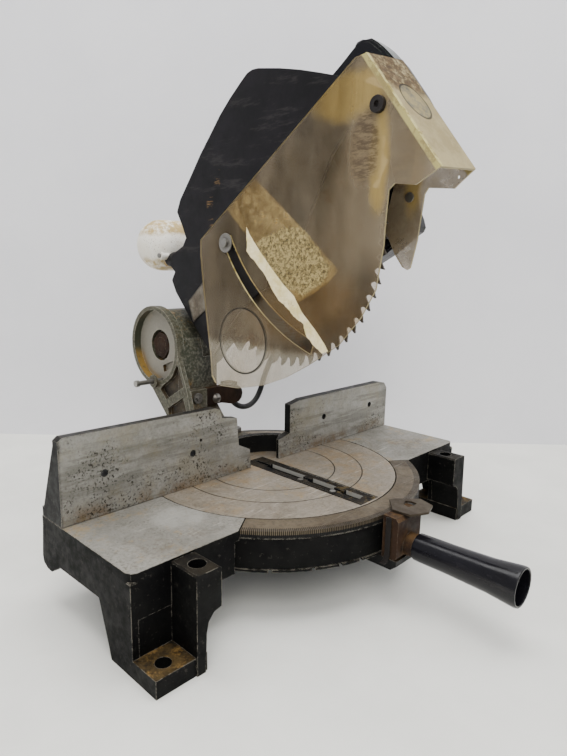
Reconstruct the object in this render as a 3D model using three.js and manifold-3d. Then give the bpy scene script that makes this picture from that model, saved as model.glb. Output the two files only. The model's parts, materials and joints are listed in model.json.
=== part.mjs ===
// A bench mitre saw with a pivoting head, a turntable and a folding clear blade guard.
// Millimetres, +Z up. X runs along the fence (+X to the operator's right), -Y is the operator's side.
import * as THREE from 'three';
import { mergeVertices } from 'three/addons/utils/BufferGeometryUtils.js';
import Module from 'manifold-3d';

const wasm = await Module();
wasm.setup();

// ---------------------------------------------------------------- driving dimensions
const BLADE_R = 127;            // 254 mm blade
const BLADE_T = 2.2;            // blade body thickness
const TEETH = 60;
const TABLE_Z = 83.9;           // height of the table top above the bench
const HALF_W = 236;             // half width of base and fence
const DISC_R = 136;             // turntable
const RING_IN = 136.9;
const RING_OUT = 161;
const RING_HALF_DEG = 54.2;
const TT = [0, -11];            // turntable axis (x, y)
const PIV = [168.8, 200.9];     // head pivot axis (y, z)
const DRUM_R = 49.4;
const ARB = [-22.9, 326.2];     // blade axis (y, z), head raised
const MOT = [20, 350];          // motor axis (y, z)
const MOT_R = 48;
const GP = [-145.4, 434];       // guard pivot axis (y, z)
const SLOT_R = 218.5;           // guard slot radius about the guard pivot
const SLOT_W = 6.8;             // half the slot's width
const HANDLE_Z = 57.5;          // mitre handle axis height
const GAP = 0.3;
const CORD_R = 3.7;
const COIL = [20, 240];         // middle of the wound lead on the bench
const COIL_R = 41.5;
const LOOP = [[110, 45, 261.7], [110.2, 46, 250], [111.5, 56, 236], [114, 73, 219], [116.5, 91, 202], [118.5, 106, 184], [119, 117, 165], [117.3, 123.5, 147], [112.4, 125.3, 130.5], [104.6, 125.4, 119.6], [94, 125.2, 113.4], [81.5, 125, 112.6], [70, 125, 116.8], [61.8, 125, 123.4], [58, 125, 128.5], [57.5, 125, 131.4]];
const DROP = [[57.5, 134.3, 137.5], [57.5, 146, 137.2], [58, 158, 131.5], [59, 167, 119], [60.5, 173, 101], [62, 177, 82], [64, 181, 63], [66, 186, 45.5], [67.8, 193.5, 31], [68.6, 203, 22], [68.9, 212.2, 18.6]];
const SHIFT_Y = 22;             // puts the origin under the middle of the saw's box

// ---------------------------------------------------------------- helpers
const solid = (geo) => {
  let g = geo.clone();
  g.deleteAttribute('normal');
  if (g.attributes.uv) g.deleteAttribute('uv');
  g = mergeVertices(g, 1e-5);
  const m = new wasm.Manifold(new wasm.Mesh({
    numProp: 3,
    vertProperties: new Float32Array(g.attributes.position.array),
    triVerts: new Uint32Array(g.index.array),
  }));
  return m;
};
const cyc = { // (u, v, w) of a shape's plane and extrusion to x, y, z
  x: (u, v, w) => [w, u, v],
  y: (u, v, w) => [u, -w, v],
  z: (u, v, w) => [u, v, w],
};
const remap = (geo, axis) => {
  const p = geo.attributes.position;
  for (let i = 0; i < p.count; i++) {
    const q = cyc[axis](p.getX(i), p.getY(i), p.getZ(i));
    p.setXYZ(i, q[0], q[1], q[2]);
  }
  return geo;
};
const prism = (axis, pts, a, b, holes = []) => {
  const s = new THREE.Shape(pts.map((q) => new THREE.Vector2(q[0], q[1])));
  for (const h of holes) s.holes.push(new THREE.Path(h.map((q) => new THREE.Vector2(q[0], q[1]))));
  const g = new THREE.ExtrudeGeometry(s, { depth: b - a, bevelEnabled: false, steps: 1, curveSegments: 8 });
  g.translate(0, 0, axis === 'y' ? -b : a);
  return solid(remap(g, axis));
};
const ring2 = (c, r, n, a0 = 0) => Array.from({ length: n }, (_, i) => {
  const t = a0 + (2 * Math.PI * i) / n;
  return [c[0] + r * Math.cos(t), c[1] + r * Math.sin(t)];
});
const cyl = (axis, c, r, a, b, n = 18) => prism(axis, ring2(c, r, n, Math.PI / n), a, b);
const hex = (axis, c, af, a, b) => prism(axis, ring2(c, af / Math.sqrt(3), 6, 0.2), a, b);
const box = (x0, x1, y0, y1, z0, z1) => {
  const g = new THREE.BoxGeometry(x1 - x0, y1 - y0, z1 - z0);
  g.translate((x0 + x1) / 2, (y0 + y1) / 2, (z0 + z1) / 2);
  return solid(g);
};
const arc = (c, r, a0, a1, n) => Array.from({ length: n + 1 }, (_, i) => {
  const t = ((a0 + ((a1 - a0) * i) / n) * Math.PI) / 180;
  return [c[0] + r * Math.cos(t), c[1] + r * Math.sin(t)];
});
const sector = (c, r0, r1, a0, a1, z0, z1, n = 24) =>
  prism('z', [...arc(c, r1, a0, a1, n), ...arc(c, r0, a1, a0, n)], z0, z1);
const lathe = (axis, c, outline, n = 24) => { // outline: [radius, place along the axis], starts and ends on the axis or closes
  const turn = outline.reduce((t, q, i) => {
    const r = outline[(i + 1) % outline.length];
    return t + q[0] * r[1] - r[0] * q[1];
  }, 0);
  const prof = turn < 0 ? [...outline].reverse() : outline;
  const g = new THREE.LatheGeometry(prof.map((q) => new THREE.Vector2(q[0], q[1])), n);
  // lathe turns about its Y; (x, y, z) -> plane (u, v), length w
  const p = g.attributes.position;
  for (let i = 0; i < p.count; i++) {
    const u = p.getZ(i), v = p.getX(i), w = p.getY(i);
    let q;
    if (axis === 'x') q = [w, u + c[0], v + c[1]];
    else if (axis === 'y') q = [v + c[0], w, u + c[1]];
    else q = [u + c[0], v + c[1], w];
    p.setXYZ(i, q[0], q[1], q[2]);
  }
  return solid(g);
};
const hull2 = (circles, n = 20) => { // convex outline round circles [cx, cy, r]
  const pts = circles.flatMap(([cx, cy, r]) => ring2([cx, cy], r, n));
  pts.sort((p, q) => p[0] - q[0] || p[1] - q[1]);
  const cross = (o, a, b) => (a[0] - o[0]) * (b[1] - o[1]) - (a[1] - o[1]) * (b[0] - o[0]);
  const half = (list) => {
    const h = [];
    for (const p of list) {
      while (h.length >= 2 && cross(h[h.length - 2], h[h.length - 1], p) <= 1e-6) h.pop();
      h.push(p);
    }
    h.pop();
    return h;
  };
  return [...half(pts), ...half([...pts].reverse())];
};
const tube = (pts, r, sides, steps) => {
  const curve = new THREE.CatmullRomCurve3(pts.map((q) => new THREE.Vector3(...q)), false, 'centripetal');
  const s = new THREE.Shape(ring2([0, 0], r, sides, Math.PI / sides).map((q) => new THREE.Vector2(q[0], q[1])));
  return solid(new THREE.ExtrudeGeometry(s, { steps, bevelEnabled: false, extrudePath: curve }));
};
const uni = (...ms) => ms.reduce((a, b) => a.add(b));

const group = new THREE.Group();
group.name = 'mitre_saw';
const placed = new THREE.Group();
placed.position.set(0, SHIFT_Y, 0);
group.add(placed);
const put = (name, m, color, roughness, metalness) => {
  const k = m.getMesh();
  const g = new THREE.BufferGeometry();
  const n = k.vertProperties.length / k.numProp;
  const pos = new Float32Array(n * 3);
  for (let i = 0; i < n; i++) for (let j = 0; j < 3; j++) pos[3 * i + j] = k.vertProperties[i * k.numProp + j];
  g.setAttribute('position', new THREE.BufferAttribute(pos, 3));
  g.setIndex(new THREE.BufferAttribute(new Uint32Array(k.triVerts), 1));
  g.computeVertexNormals();
  const mesh = new THREE.Mesh(g, new THREE.MeshStandardMaterial({ color, roughness, metalness }));
  mesh.name = name;
  placed.add(mesh);
};
const BLACK = '#2b2a2c', ALU = '#a9a49b', GREEN = '#8d8f84', STEEL = '#8b8a86', RUST = '#6b4a35', PLASTIC = '#29272b';

// ---------------------------------------------------------------- base casting
{
  const wing = prism('z', [
    [-HALF_W, -99], [-HALF_W + 2, -103], [-HALF_W + 6, -105], [HALF_W - 6, -105], [HALF_W - 2, -103], [HALF_W, -99],
    [HALF_W, 37.5], [-HALF_W, 37.5],
  ], 75, TABLE_Z);
  let m = wing;
  // rim, ledge and rear collar round the turntable
  m = m.add(cyl('z', TT, 144, 64, 83.4, 48));
  m = m.subtract(cyl('z', TT, 136.9, 71.2, 90, 48));
  m = m.subtract(cyl('z', TT, 116, 50, 72, 32));
  m = m.subtract(sector(TT, 100, 133.5, -90 - 50, -90 + 50, 60, 72, 24));
  m = m.subtract(sector(TT, 100, 161.6, -90 - 54.6, -90 + 54.6, 71.2, 90, 28));
  // front band under the scale ring, with its wall and lower lip
  m = m.add(sector(TT, 136.6, 161.2, -90 - 58, -90 + 58, 64, 77.2, 30));
  m = m.add(sector(TT, 154.5, 161.2, -90 - 58, -90 + 58, 47, 64.5, 30));
  m = m.add(sector(TT, 158, 162.4, -90 - 57, -90 + 57, 47, 49.4, 30));
  m = m.subtract(sector(TT, 136.6, 161.25, -90 - 54.6, -90 + 54.6, 77.2, 90, 28));
  // the wing tops drop a little behind the fence's face
  for (const sx of [-1, 1]) m = m.subtract(box(...(sx < 0 ? [-HALF_W - 1, -40] : [40, HALF_W + 1]), -0.35, 60, TABLE_Z - 0.4, TABLE_Z + 4));
  // detent notches under the lip
  for (const d of [-45, -31.6, -22.5, -15, 0, 15, 22.5, 31.6, 45]) {
    const g = new THREE.BoxGeometry(8, 3.2, 5);
    g.translate(162.6, 0, 47);
    g.rotateZ(((d - 90) * Math.PI) / 180);
    g.translate(TT[0], TT[1], 0);
    m = m.subtract(solid(g));
  }
  // skirts
  m = m.add(box(-HALF_W + 1, -136, -105, -99.5, 46, 76)).add(box(136, HALF_W - 1, -105, -99.5, 46, 76));
  m = m.add(box(-HALF_W + 1, -138, 32, 37.5, 46, 76)).add(box(138, HALF_W - 1, 32, 37.5, 46, 76));
  for (const s of [-1, 1]) {
    const end = prism('x', [
      [37.5, 76], [41.8, 44], [40, 38], [33, 34.6], [25, 34.2], [8.4, 44.6], [-58, 46.3], [-66.8, 21.8], [-74.2, 0],
      [-135, 0], [-135, 15], [-105, 15], [-105, 76],
    ], s < 0 ? -HALF_W : HALF_W - 6, s < 0 ? -HALF_W + 6 : HALF_W);
    m = m.add(end);
    // front foot with bolt hole, its inner wall and the clamp-rod post
    const x = (a, b) => (s < 0 ? [-b, -a] : [a, b]);
    const d = s < 0 ? 0 : 3.5; // the right foot sits a little further out and forward
    m = m.add(box(...x(190 + d, HALF_W - 0.5), -135 - d, -75, 0, 15));
    const post = [[200.5, 80.8], [199, 82], [178.5, 82], [177, 80.8], [177, 49], [184.5, 47], [189.5, 41], [191.3, 33], [192.6 + d, 0], [200.5 + d, 0]];
    const pp = s < 0 ? post.map((q) => [-q[0], q[1]]) : [...post].reverse();
    m = m.add(prism('y', pp, -136.5 - d, -104.5));
    // wall at the back of the foot's pocket
    m = m.add(box(...x(194, HALF_W - 0.5), -104.6, -98.5, 0, 77));
    m = m.subtract(cyl('z', [s * 220.5, -121.5], 6.5, -1, 16, 16));
    m = m.subtract(cyl('z', [s * 188, -121.2], 7.2, 52, 90, 20));
    // stiffening rib under the wing
    m = m.add(box(...x(166, 171), -100, 34, 60, 76));
    // rear foot
    m = m.add(box(...x(98, 142), 60, 94, 0, 71.2).subtract(box(...x(104, 136), 66, 88, -1, 58)));
    m = m.add(box(...x(98, 152), 60, 106, 0, 8));
    m = m.subtract(box(...x(104, 136), 66, 88, -1, 58));
    m = m.subtract(cyl('z', [s * 125, 99.7], 3.6, -1, 9, 12));
    for (const bx of [160, 215]) m = m.subtract(cyl('z', [s * bx, 26], 4.2, 60, 90, 12));
  }
  // spider that carries the pivot
  m = m.add(cyl('z', TT, 26, 38, 60, 24));
  m = m.add(box(-118, 118, TT[1] - 4, TT[1] + 4, 42, 66));
  m = m.add(box(-4, 4, TT[1], TT[1] + 118, 42, 66));
  m = m.subtract(cyl('z', TT, 23, 49.7, 80, 24));
  m = m.subtract(cyl('z', TT, 6.6, 30, 60, 16));
  put('base_casting', m, BLACK, 0.55, 0.3);
}
// ---------------------------------------------------------------- scale ring
{
  const m = sector(TT, RING_IN, RING_OUT, -90 - RING_HALF_DEG, -90 + RING_HALF_DEG, 77.5, TABLE_Z, 40);
  put('scale_ring', m, '#9c8f7f', 0.55, 0.5);
}
// ---------------------------------------------------------------- fence with its rear arch, and its bolts
{
  const left = [[-HALF_W, 84.2], [-20.4, 84.2], [-22.2, 105.8], [-38.2, 113.9], [-41.2, 144.3], [-61.7, 148], [-64, 157], [-70, 159.5], [-232, 162], [-HALF_W, 159]];
  const right = [[22.8, 84.2], [HALF_W, 84.2], [HALF_W, 138], [230, 145.5], [219, 148], [57, 148], [51.7, 147], [40.9, 145], [41.2, 111], [22.3, 106.7]];
  let m = uni(prism('y', left, 0, 9), prism('y', right, 0, 9));
  // shallow recess behind the faces and the top beads
  m = m.add(box(-232, -70, 8, 11, 152, 159)).add(box(60, 219, 8, 11, 141, 148));
  // bevels at the back of the gap
  m = m.subtract(prism('z', [[-30, 9.2], [-20, -1.2 + 4.5], [-20, 9.2]], 80, 115));
  m = m.subtract(prism('z', [[22, 3.3], [32, 9.2], [22, 9.2]], 80, 115));
  const flange = [[0.5, 84.2], [36, 84.2], [33.5, 92], [26.6, 110.3], [10.4, 151], [8, 157], [0.5, 159]];
  m = m.add(prism('x', flange, -HALF_W, -HALF_W + 6));
  m = m.add(prism('x', [[0.5, 84.2], [36, 84.2], [33.5, 92], [26.6, 110.3], [14, 134], [0.5, 138]], HALF_W - 6, HALF_W));
  m = m.add(box(-HALF_W, -140, 8, 36, 84.2, 93)).add(box(140, HALF_W, 8, 36, 84.2, 93));
  for (const s of [-1, 1]) {
    m = m.add(prism('x', [[8, 92], [34, 92], [30, 97], [10, 130], [8, 130]], s * 187 - 2.5, s * 187 + 2.5));
    for (const bx of [160, 215]) m = m.subtract(cyl('z', [s * bx, 26], 4.2, 80, 95, 12));
  }
  m = m.add(sector(TT, 50, 58, 13, 167, 84.2, 105, 24).subtract(box(-80, 80, -60, 0.5, 80, 110)));
  m = m.add(prism('x', [[39, 84.2], [53, 84.2], [48, 104], [39, 104]], 18, 23));
  for (const [x, z] of [[-195, 122.5], [-99, 118.4], [102, 120], [197, 120]]) m = m.subtract(cyl('y', [x, z], 3.6, -1, 12, 12));
  m = m.subtract(cyl('y', [-89, 130], 1.6, -1, 12, 8));
  put('fence', m, '#9b9a96', 0.5, 0.6);
  let i = 1;
  for (const x of [-215, -160, 160, 215]) {
    put(`fence_bolt_${i++}`, uni(cyl('z', [x, 26], 3.8, 62, 94, 12), hex('z', [x, 26], 13, 93.3, 99)), STEEL, 0.4, 0.9);
  }
  put('turntable_pivot_bolt', uni(cyl('z', TT, 6.2, 34, 58.5, 16), hex('z', TT, 22, 29.5, 37.7)), STEEL, 0.4, 0.9);
}
// ---------------------------------------------------------------- turntable
{
  let m = cyl('z', TT, DISC_R, 71.5, TABLE_Z, 60);
  m = m.add(cyl('z', TT, 22, 50, 72, 24));
  m = m.add(box(-18, 18, -125, TT[1], 50, 72).subtract(cyl('z', TT, 34, 20, 66.4, 24)));
  m = m.add(box(-18, 18, -125, -46, 36, 72));
  m = m.add(prism('x', [[-120, 36], [-120, 46], [-190, 46], [-190, 41], [-184, 36]], -20, 18));
  m = m.subtract(box(-13.6, 14.6, -144.3, 18.3, 79.2, 90));
  m = m.subtract(box(-7, 7, -134.5, 15, 61.5, 90));
  m = m.subtract(cyl('z', TT, 6.5, 40, 59, 16));
  for (const x of [-38, 38]) m = m.subtract(cyl('z', [x, 92], 4.2, 60, 90, 12));
  for (const x of [-13, 11]) m = m.subtract(cyl('z', [x, -181], 2.6, 30, 50, 8));
  put('turntable', m, ALU, 0.45, 0.7);
}
{
  let m = box(-13.3, 14.3, -144, 18, 79.5, 83.9);
  m = m.add(box(-13.3, -11.3, -144, -24, 83, 84.4)).add(box(12.3, 14.3, -144, -24, 83, 84.4));
  m = m.subtract(box(-4.5, 5.5, -57, -8, 70, 90));
  m = m.subtract(box(-4.5, 5.5, -99, -68, 70, 90));
  m = m.subtract(box(-4.5, 5.5, -133, -112, 70, 90));
  m = m.subtract(box(-1.9, 1.9, -134, 13, 70, 90));
  for (const y of [-62.5, -105.5]) m = m.subtract(cyl('z', [-8.2, y], 1.9, 70, 90, 8));
  put('kerf_plate', m, '#2a2a2e', 0.5, 0.1);
  let i = 1;
  for (const y of [-62.5, -105.5]) put(`kerf_screw_${i++}`, uni(cyl('z', [-8.2, y], 1.6, 79.6, 84.3, 8), cyl('z', [-8.2, y], 3, 84.2, 85.3, 12)), STEEL, 0.4, 0.9);
}
// ---------------------------------------------------------------- pivot arm
{
  let m = prism('x', [
    [119, 192], [119, 128], [104, 112], [84, 96], [78, 90], [78, 84.2], [120, 84.2], [126, 96], [144.9, 116.5], [176.5, 148.3],
    [196, 168], [196, 215], [150, 225], [124, 212],
  ], -29.5, 30);
  m = m.add(box(-46, 46, 76, 108, 84.2, 93));
  m = m.add(cyl('x', PIV, 45, -20, 30, 30));
  // front face steps down to the right, flanges at both sides
  m = m.add(prism('x', [[119.5, 194], [102.9, 155.4], [94, 126], [119.5, 124]], -30, -24));
  m = m.subtract(prism('x', [[100, 210], [100, 190], [119.4, 190], [135, 180], [150, 260], [100, 260]], 8, 31));
  m = m.add(cyl('x', PIV, 45, -20, 30, 30));
  m = m.subtract(prism('x', [[70, 280], [250, 280], [250, 160], [177, 149], [168.8, 200.9], [118, 196]], -40, -20).subtract(cyl('x', PIV, DRUM_R, -41, -19, 36)));
  m = m.add(cyl('x', PIV, DRUM_R, -30, -20, 36));
  // front bar
  m = m.add(box(-28, 6.6, 110, 120, 128, 151));
  // pockets in the left side, with a slanting rib between them
  m = m.subtract(prism('x', [[157, 147.5], [145, 136.5], [121.5, 150.5], [121.5, 182.5], [124.5, 179], [131, 168], [140, 160], [150, 154.5]], -40, -24.5));
  m = m.subtract(prism('x', [[122, 150.3], [108.5, 158], [118, 180.5], [122, 182]], -40, -27.5));
  m = m.subtract(prism('x', [[142, 126], [110, 144.8], [105, 134], [103, 124], [108, 110], [127, 104], [141, 119]].reverse(), -40, -24.5));
  // boss round the lock pin
  m = m.add(cyl('x', [167, 156.5], 8, -34, -20, 20));
  // hollow underside of the neck
  m = m.subtract(prism('x', [[93, 84], [110, 84], [114, 94], [138, 120], [150, 142], [128, 142], [128, 122], [112, 104], [93, 90]], -22, 22));
  // recess for the bolt head, bore, spring recess, lock pin bore
  m = m.subtract(cyl('x', PIV, 44.4, -31, -20, 36));
  m = m.subtract(cyl('x', PIV, 19.5, -21, -12, 20));
  m = m.subtract(prism('x', [[164.4, 176.1], [162.5, 167.4], [143.1, 175.2], [142.8, 184.1]].reverse(), -21, -15.5));
  m = m.subtract(cyl('x', PIV, 10.3, -40, 40, 20));
  m = m.subtract(cyl('x', PIV, 36, 6, 31, 24));
  m = m.subtract(cyl('x', [167, 156.5], 3.3, -40, 20, 12));
  for (const x of [-38, 38]) m = m.subtract(cyl('z', [x, 92], 4.2, 80, 100, 12));
  m = m.subtract(cyl('y', [-8.9, 141.3], 3.3, 105, 118, 10));
  put('pivot_arm', m, GREEN, 0.5, 0.4);
  let i = 1;
  for (const x of [-38, 38]) put(`arm_foot_bolt_${i++}`, uni(cyl('z', [x, 92], 3.8, 72.5, 94, 12), hex('z', [x, 92], 13, 93.3, 99)), STEEL, 0.4, 0.9);
  put('arm_screw', uni(cyl('y', [-8.9, 141.3], 3, 105, 117.5, 10), cyl('y', [-8.9, 141.3], 6.5, 106.5, 109.7, 18)).subtract(box(-16, -2, 106, 107.3, 140.6, 142)), STEEL, 0.4, 0.9);
  put('head_pivot_shaft', uni(cyl('x', PIV, 10, -19, 73, 20), hex('x', PIV, 30, -18.8, -12.3)), '#5a4038', 0.5, 0.8);
  put('pivot_nut', hex('x', PIV, 30, 61, 71.5).subtract(cyl('x', PIV, 10.3, 50, 80, 20)), STEEL, 0.4, 0.9);
  // torsion spring round the shaft
  const pts = [];
  for (let k = 0; k <= 36; k++) pts.push([10 + (17 * k) / 36, PIV[0] + 20 * Math.cos(k * 0.7), PIV[1] + 20 * Math.sin(k * 0.7)]);
  put('torsion_spring', tube(pts, 1.9, 6, 44), STEEL, 0.4, 0.9);
  put('head_lock_pin', uni(cyl('x', [167, 156.5], 2.9, -55, 6, 12), cyl('x', [167, 156.5], 4.2, -59, -54, 12)), STEEL, 0.35, 0.9);
}
// cord clamp at the right end of the bar, with the black gland the lead passes
{
  let m = prism('y', [[6.9, 151], [6.9, 129.2], [30, 129.2], [50, 124.5], [60, 126.5], [64.5, 131], [66, 137], [65, 142], [60, 147], [50, 151]], 110, 118.6);
  m = m.add(box(48, 64, 118, 134, 134, 151));
  m = m.subtract(cyl('z', [57.5, 125], 5.2, 120, 142, 14));
  m = m.subtract(cyl('y', [57.5, 137.5 + 4], 5.2, 125, 140, 14));
  m = m.subtract(cyl('y', [21.8, 136.5], 3.3, 100, 140, 10));
  put('cord_clamp', m, '#5d4a3b', 0.6, 0.3);
  put('clamp_screw', uni(cyl('y', [21.8, 136.5], 3, 107, 117.9, 10), lathe('y', [21.8, 136.5], [[0, 105.6], [3, 106], [5.2, 107.4], [6.3, 109.7], [0, 109.7]], 18)).subtract(box(14, 30, 105, 106.7, 135.8, 137.2)), STEEL, 0.4, 0.9);
  put('cord_grommet', lathe('z', [57.5, 125], [[0, 132.4], [4.6, 132.4], [4.9, 134], [4.9, 141.8], [0, 141.8]], 14), '#161616', 0.7, 0);
}
// ---------------------------------------------------------------- mitre handle, its bracket, pointer and detent leaf
{
  let m = prism('x', [[-174, 46.3], [-174, 86.3], [-187, 86.3], [-190, 83], [-190, 49], [-187, 46.3]], -20, 18);
  m = m.add(cyl('y', [0, HANDLE_Z], 11, -198.7, -189, 22));
  m = m.subtract(cyl('y', [0, HANDLE_Z], 6.4, -200, -170, 20));
  for (const x of [-13, 11]) m = m.subtract(cyl('z', [x, -181], 1.3, 40, 60, 8));
  put('handle_bracket', m, RUST, 0.6, 0.5);
  let p = prism('z', [[-9.5, -176], [9, -160.5], [14.6, -163], [31.5, -180], [25.7, -197], [9.3, -202.5], [-7.8, -194]], 86.6, 88.6);
  p = p.subtract(prism('z', [[5.5, -183.6], [8.5, -176.5], [16, -173.4], [19.5, -178], [18.5, -184.6]].reverse(), 80, 90));
  put('pointer_plate', p, '#8f8478', 0.5, 0.6);
  put('detent_leaf', prism('y', [[-21, 86], [-21, 50.5], [-23, 46], [-28, 45.2], [-28, 43.8], [-21.8, 44.6], [-19.6, 50.2], [-20.3, 51.5], [-20.4, 86]].map((q) => [q[0] - 0.7, q[1]]), -183.5, -178), '#4a3a30', 0.5, 0.7);
  put('lock_rod', uni(cyl('y', [0, HANDLE_Z], 6, -216, -172.8, 20)), STEEL, 0.4, 0.9);
  put('mitre_handle', lathe('y', [0, HANDLE_Z], [[6.3, -199.1], [12.4, -199.1], [12.7, -206], [13, -230], [14.6, -268], [17.2, -291], [16.9, -294.2], [14.9, -294.2], [12.8, -268], [10.5, -240], [8, -232], [6.3, -232], [6.3, -199.1]], 20), '#2b2a33', 0.3, 0.1);
}
// ---------------------------------------------------------------- head castings
const caseTop = [[142.6, 361.9], [136.3, 375.2], [116.7, 398.3], [98, 421.2], [80.2, 439.9], [63.5, 457.8], [47.3, 471.9], [31.9, 483.6], [21.5, 490.9], [14.2, 492.7], [5.6, 492.4], [-24.7, 486.5], [-50.6, 480.2], [-75.1, 473], [-98.1, 465.8], [-126, 456], [-140, 443.1]];
const caseRear = [[78.7, 198.5], [119.9, 238.4], [147.3, 267.9], [155.1, 282], [148.6, 291.9], [158.7, 300], [154.2, 312], [131.7, 322.6], [125.7, 331.8], [131.3, 343.3]];
{
  const front = [[-155.3, 437], [-156, 431], [-151, 424.5], [-144, 423.6], [-128, 425], [-108, 420], [-92, 402], [-80, 376], [-64, 345], [-52, 312], [-28, 288], [2, 274], [34, 250], [60, 222]];
  const outline = [...caseRear, ...caseTop, ...front];
  let m = prism('x', outline, -10.6, 35);
  // inside of the shell: open below and in front, walls 3 mm at the sides, 3.5 mm at the top and rear
  const inner = [[70, 150], [84, 197], [116.6, 241], [143.6, 270], [150.5, 282], [143, 292], [152, 301.5], [150, 309.5], [128, 319.5], [121.5, 331.8], [128, 344], [138.5, 361],
    [133, 373.2], [113.8, 396.2], [95.2, 418.9], [77.6, 437.4], [61, 455.2], [45, 469], [29.8, 480.6], [20, 487.4], [13.8, 489.1], [6, 488.9], [-24, 483], [-49.7, 476.7], [-74, 469.6], [-97, 462.4], [-120, 454.5],
    [-124, 440], [-128, 400], [-160, 380], [-120, 150]];
  m = m.subtract(prism('x', inner, -7.6, 31.8));
  m = m.subtract(cyl('x', ARB, 20, -12, 0, 28));
  m = m.subtract(cyl('x', ARB, 17.4, 25, 40, 28));
  m = m.subtract(cyl('x', [46.4, 325.3], 3, -12, 0, 12));
  m = m.add(cyl('x', [46.4, 325.3], 6.5, -10.6, -2.6, 16)).subtract(cyl('x', [46.4, 325.3], 2.4, -13, -4, 12));
  m = m.subtract(cyl('y', [9, 306.5], 9, 140, 170, 20));
  m = m.subtract(cyl('x', GP, 3.3, -20, 40, 14));
  // nose boss that the guard turns on
  m = m.add(cyl('x', GP, 9, -14, -10, 24)).add(cyl('x', GP, 9, 34.5, 37.5, 24)).subtract(cyl('x', GP, 3.3, -20, 40, 14));
  m = m.subtract(uni(cyl('x', [20, 405], 2.6, 30, 40, 10), cyl('x', [-62, 372], 2.6, 30, 40, 10)));
  put('blade_case', m, PLASTIC, 0.4, 0.1);
  // blank plate on the left face
  put('case_plate', prism('x', [[122, 258], [92, 283], [87, 251], [112, 234]].reverse(), -11.9, -10.9), '#77756f', 0.4, 0.7);
}
{
  // gear housing with the arm that reaches back to the pivot
  const gearHull = hull2([[ARB[0], ARB[1], 42.5], [MOT[0], MOT[1], MOT_R]], 28);
  let m = prism('x', gearHull, 42.3, 58);
  m = m.add(prism('x', hull2([[22, 345, 38], [PIV[0], PIV[1], 33]], 28), 42.3, 58));
  m = m.add(cyl('x', PIV, 33, 31.3, 60.4, 32));
  m = m.subtract(cyl('x', PIV, 10.4, 20, 70, 20));
  m = m.add(cyl('x', ARB, 28, 35.3, 43, 28));
  m = m.add(cyl('x', [20, 405 - 14], 5, 35.3, 43, 14)).add(cyl('x', [-62 + 14, 372 - 14], 5, 35.3, 43, 14));
  m = m.subtract(prism('x', hull2([[ARB[0], ARB[1], 40.2], [MOT[0], MOT[1], 16]], 24), 45.5, 60));
  m = m.subtract(cyl('x', ARB, 8.2, 30, 60, 20));
  // weight-saving pocket in the arm, open to the right
  m = m.subtract(prism('x', hull2([[82, 285, 16], [132, 236, 14]], 16), 48, 60));
  put('head_casting', m, '#3a3b39', 0.45, 0.3);
}
// ---------------------------------------------------------------- dust outlet
{
  // short neck from the case into the round outlet, with a flange at the case
  const SP = [209.2, 324.5], R = 32.4;
  put('dust_elbow', lathe('y', [9, 306.5], [[6.4, 153], [8.2, 153], [8.2, 159.3], [11.5, 159.3], [11.5, 162.5], [9.6, 164], [9.6, 176], [8.2, 177], [8.2, 186], [6.4, 186], [6.4, 153]], 20), '#232226', 0.45, 0.05);
  // round outlet with a domed left end, open to the right for the bag
  const dome = [], hollow = [];
  for (let i = 0; i <= 8; i++) { const a = (Math.PI / 2) * (i / 8); dome.push([R * Math.sin(a), 12.5 - 30.8 * Math.cos(a)]); hollow.push([(R - 3.2) * Math.sin(a), 12.5 - 27.6 * Math.cos(a)]); }
  dome[0][0] = 0; hollow[0][0] = 0;
  let t = lathe('x', SP, [...dome, [R, 47], [R - 1, 49], [R - 3.2, 49], ...hollow.reverse()], 30);
  t = t.add(cyl('x', [183.6, 311.2], 5, -8, 8, 16).subtract(cyl('x', SP, R - 3, -40, 60, 28)));
  t = t.subtract(cyl('y', [9, 306.5], 8.5, 150, 200, 18));
  t = t.subtract(cyl('x', [183.6, 311.2], 1.6, -20, 0.3, 8));
  put('dust_spout', t, '#e8e2d5', 0.4, 0);
  put('spout_screw', uni(cyl('x', [183.6, 311.2], 1.3, -9, -0.2, 8), cyl('x', [183.6, 311.2], 3, -9.9, -8.2, 14)), STEEL, 0.4, 0.9);
}
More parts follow.
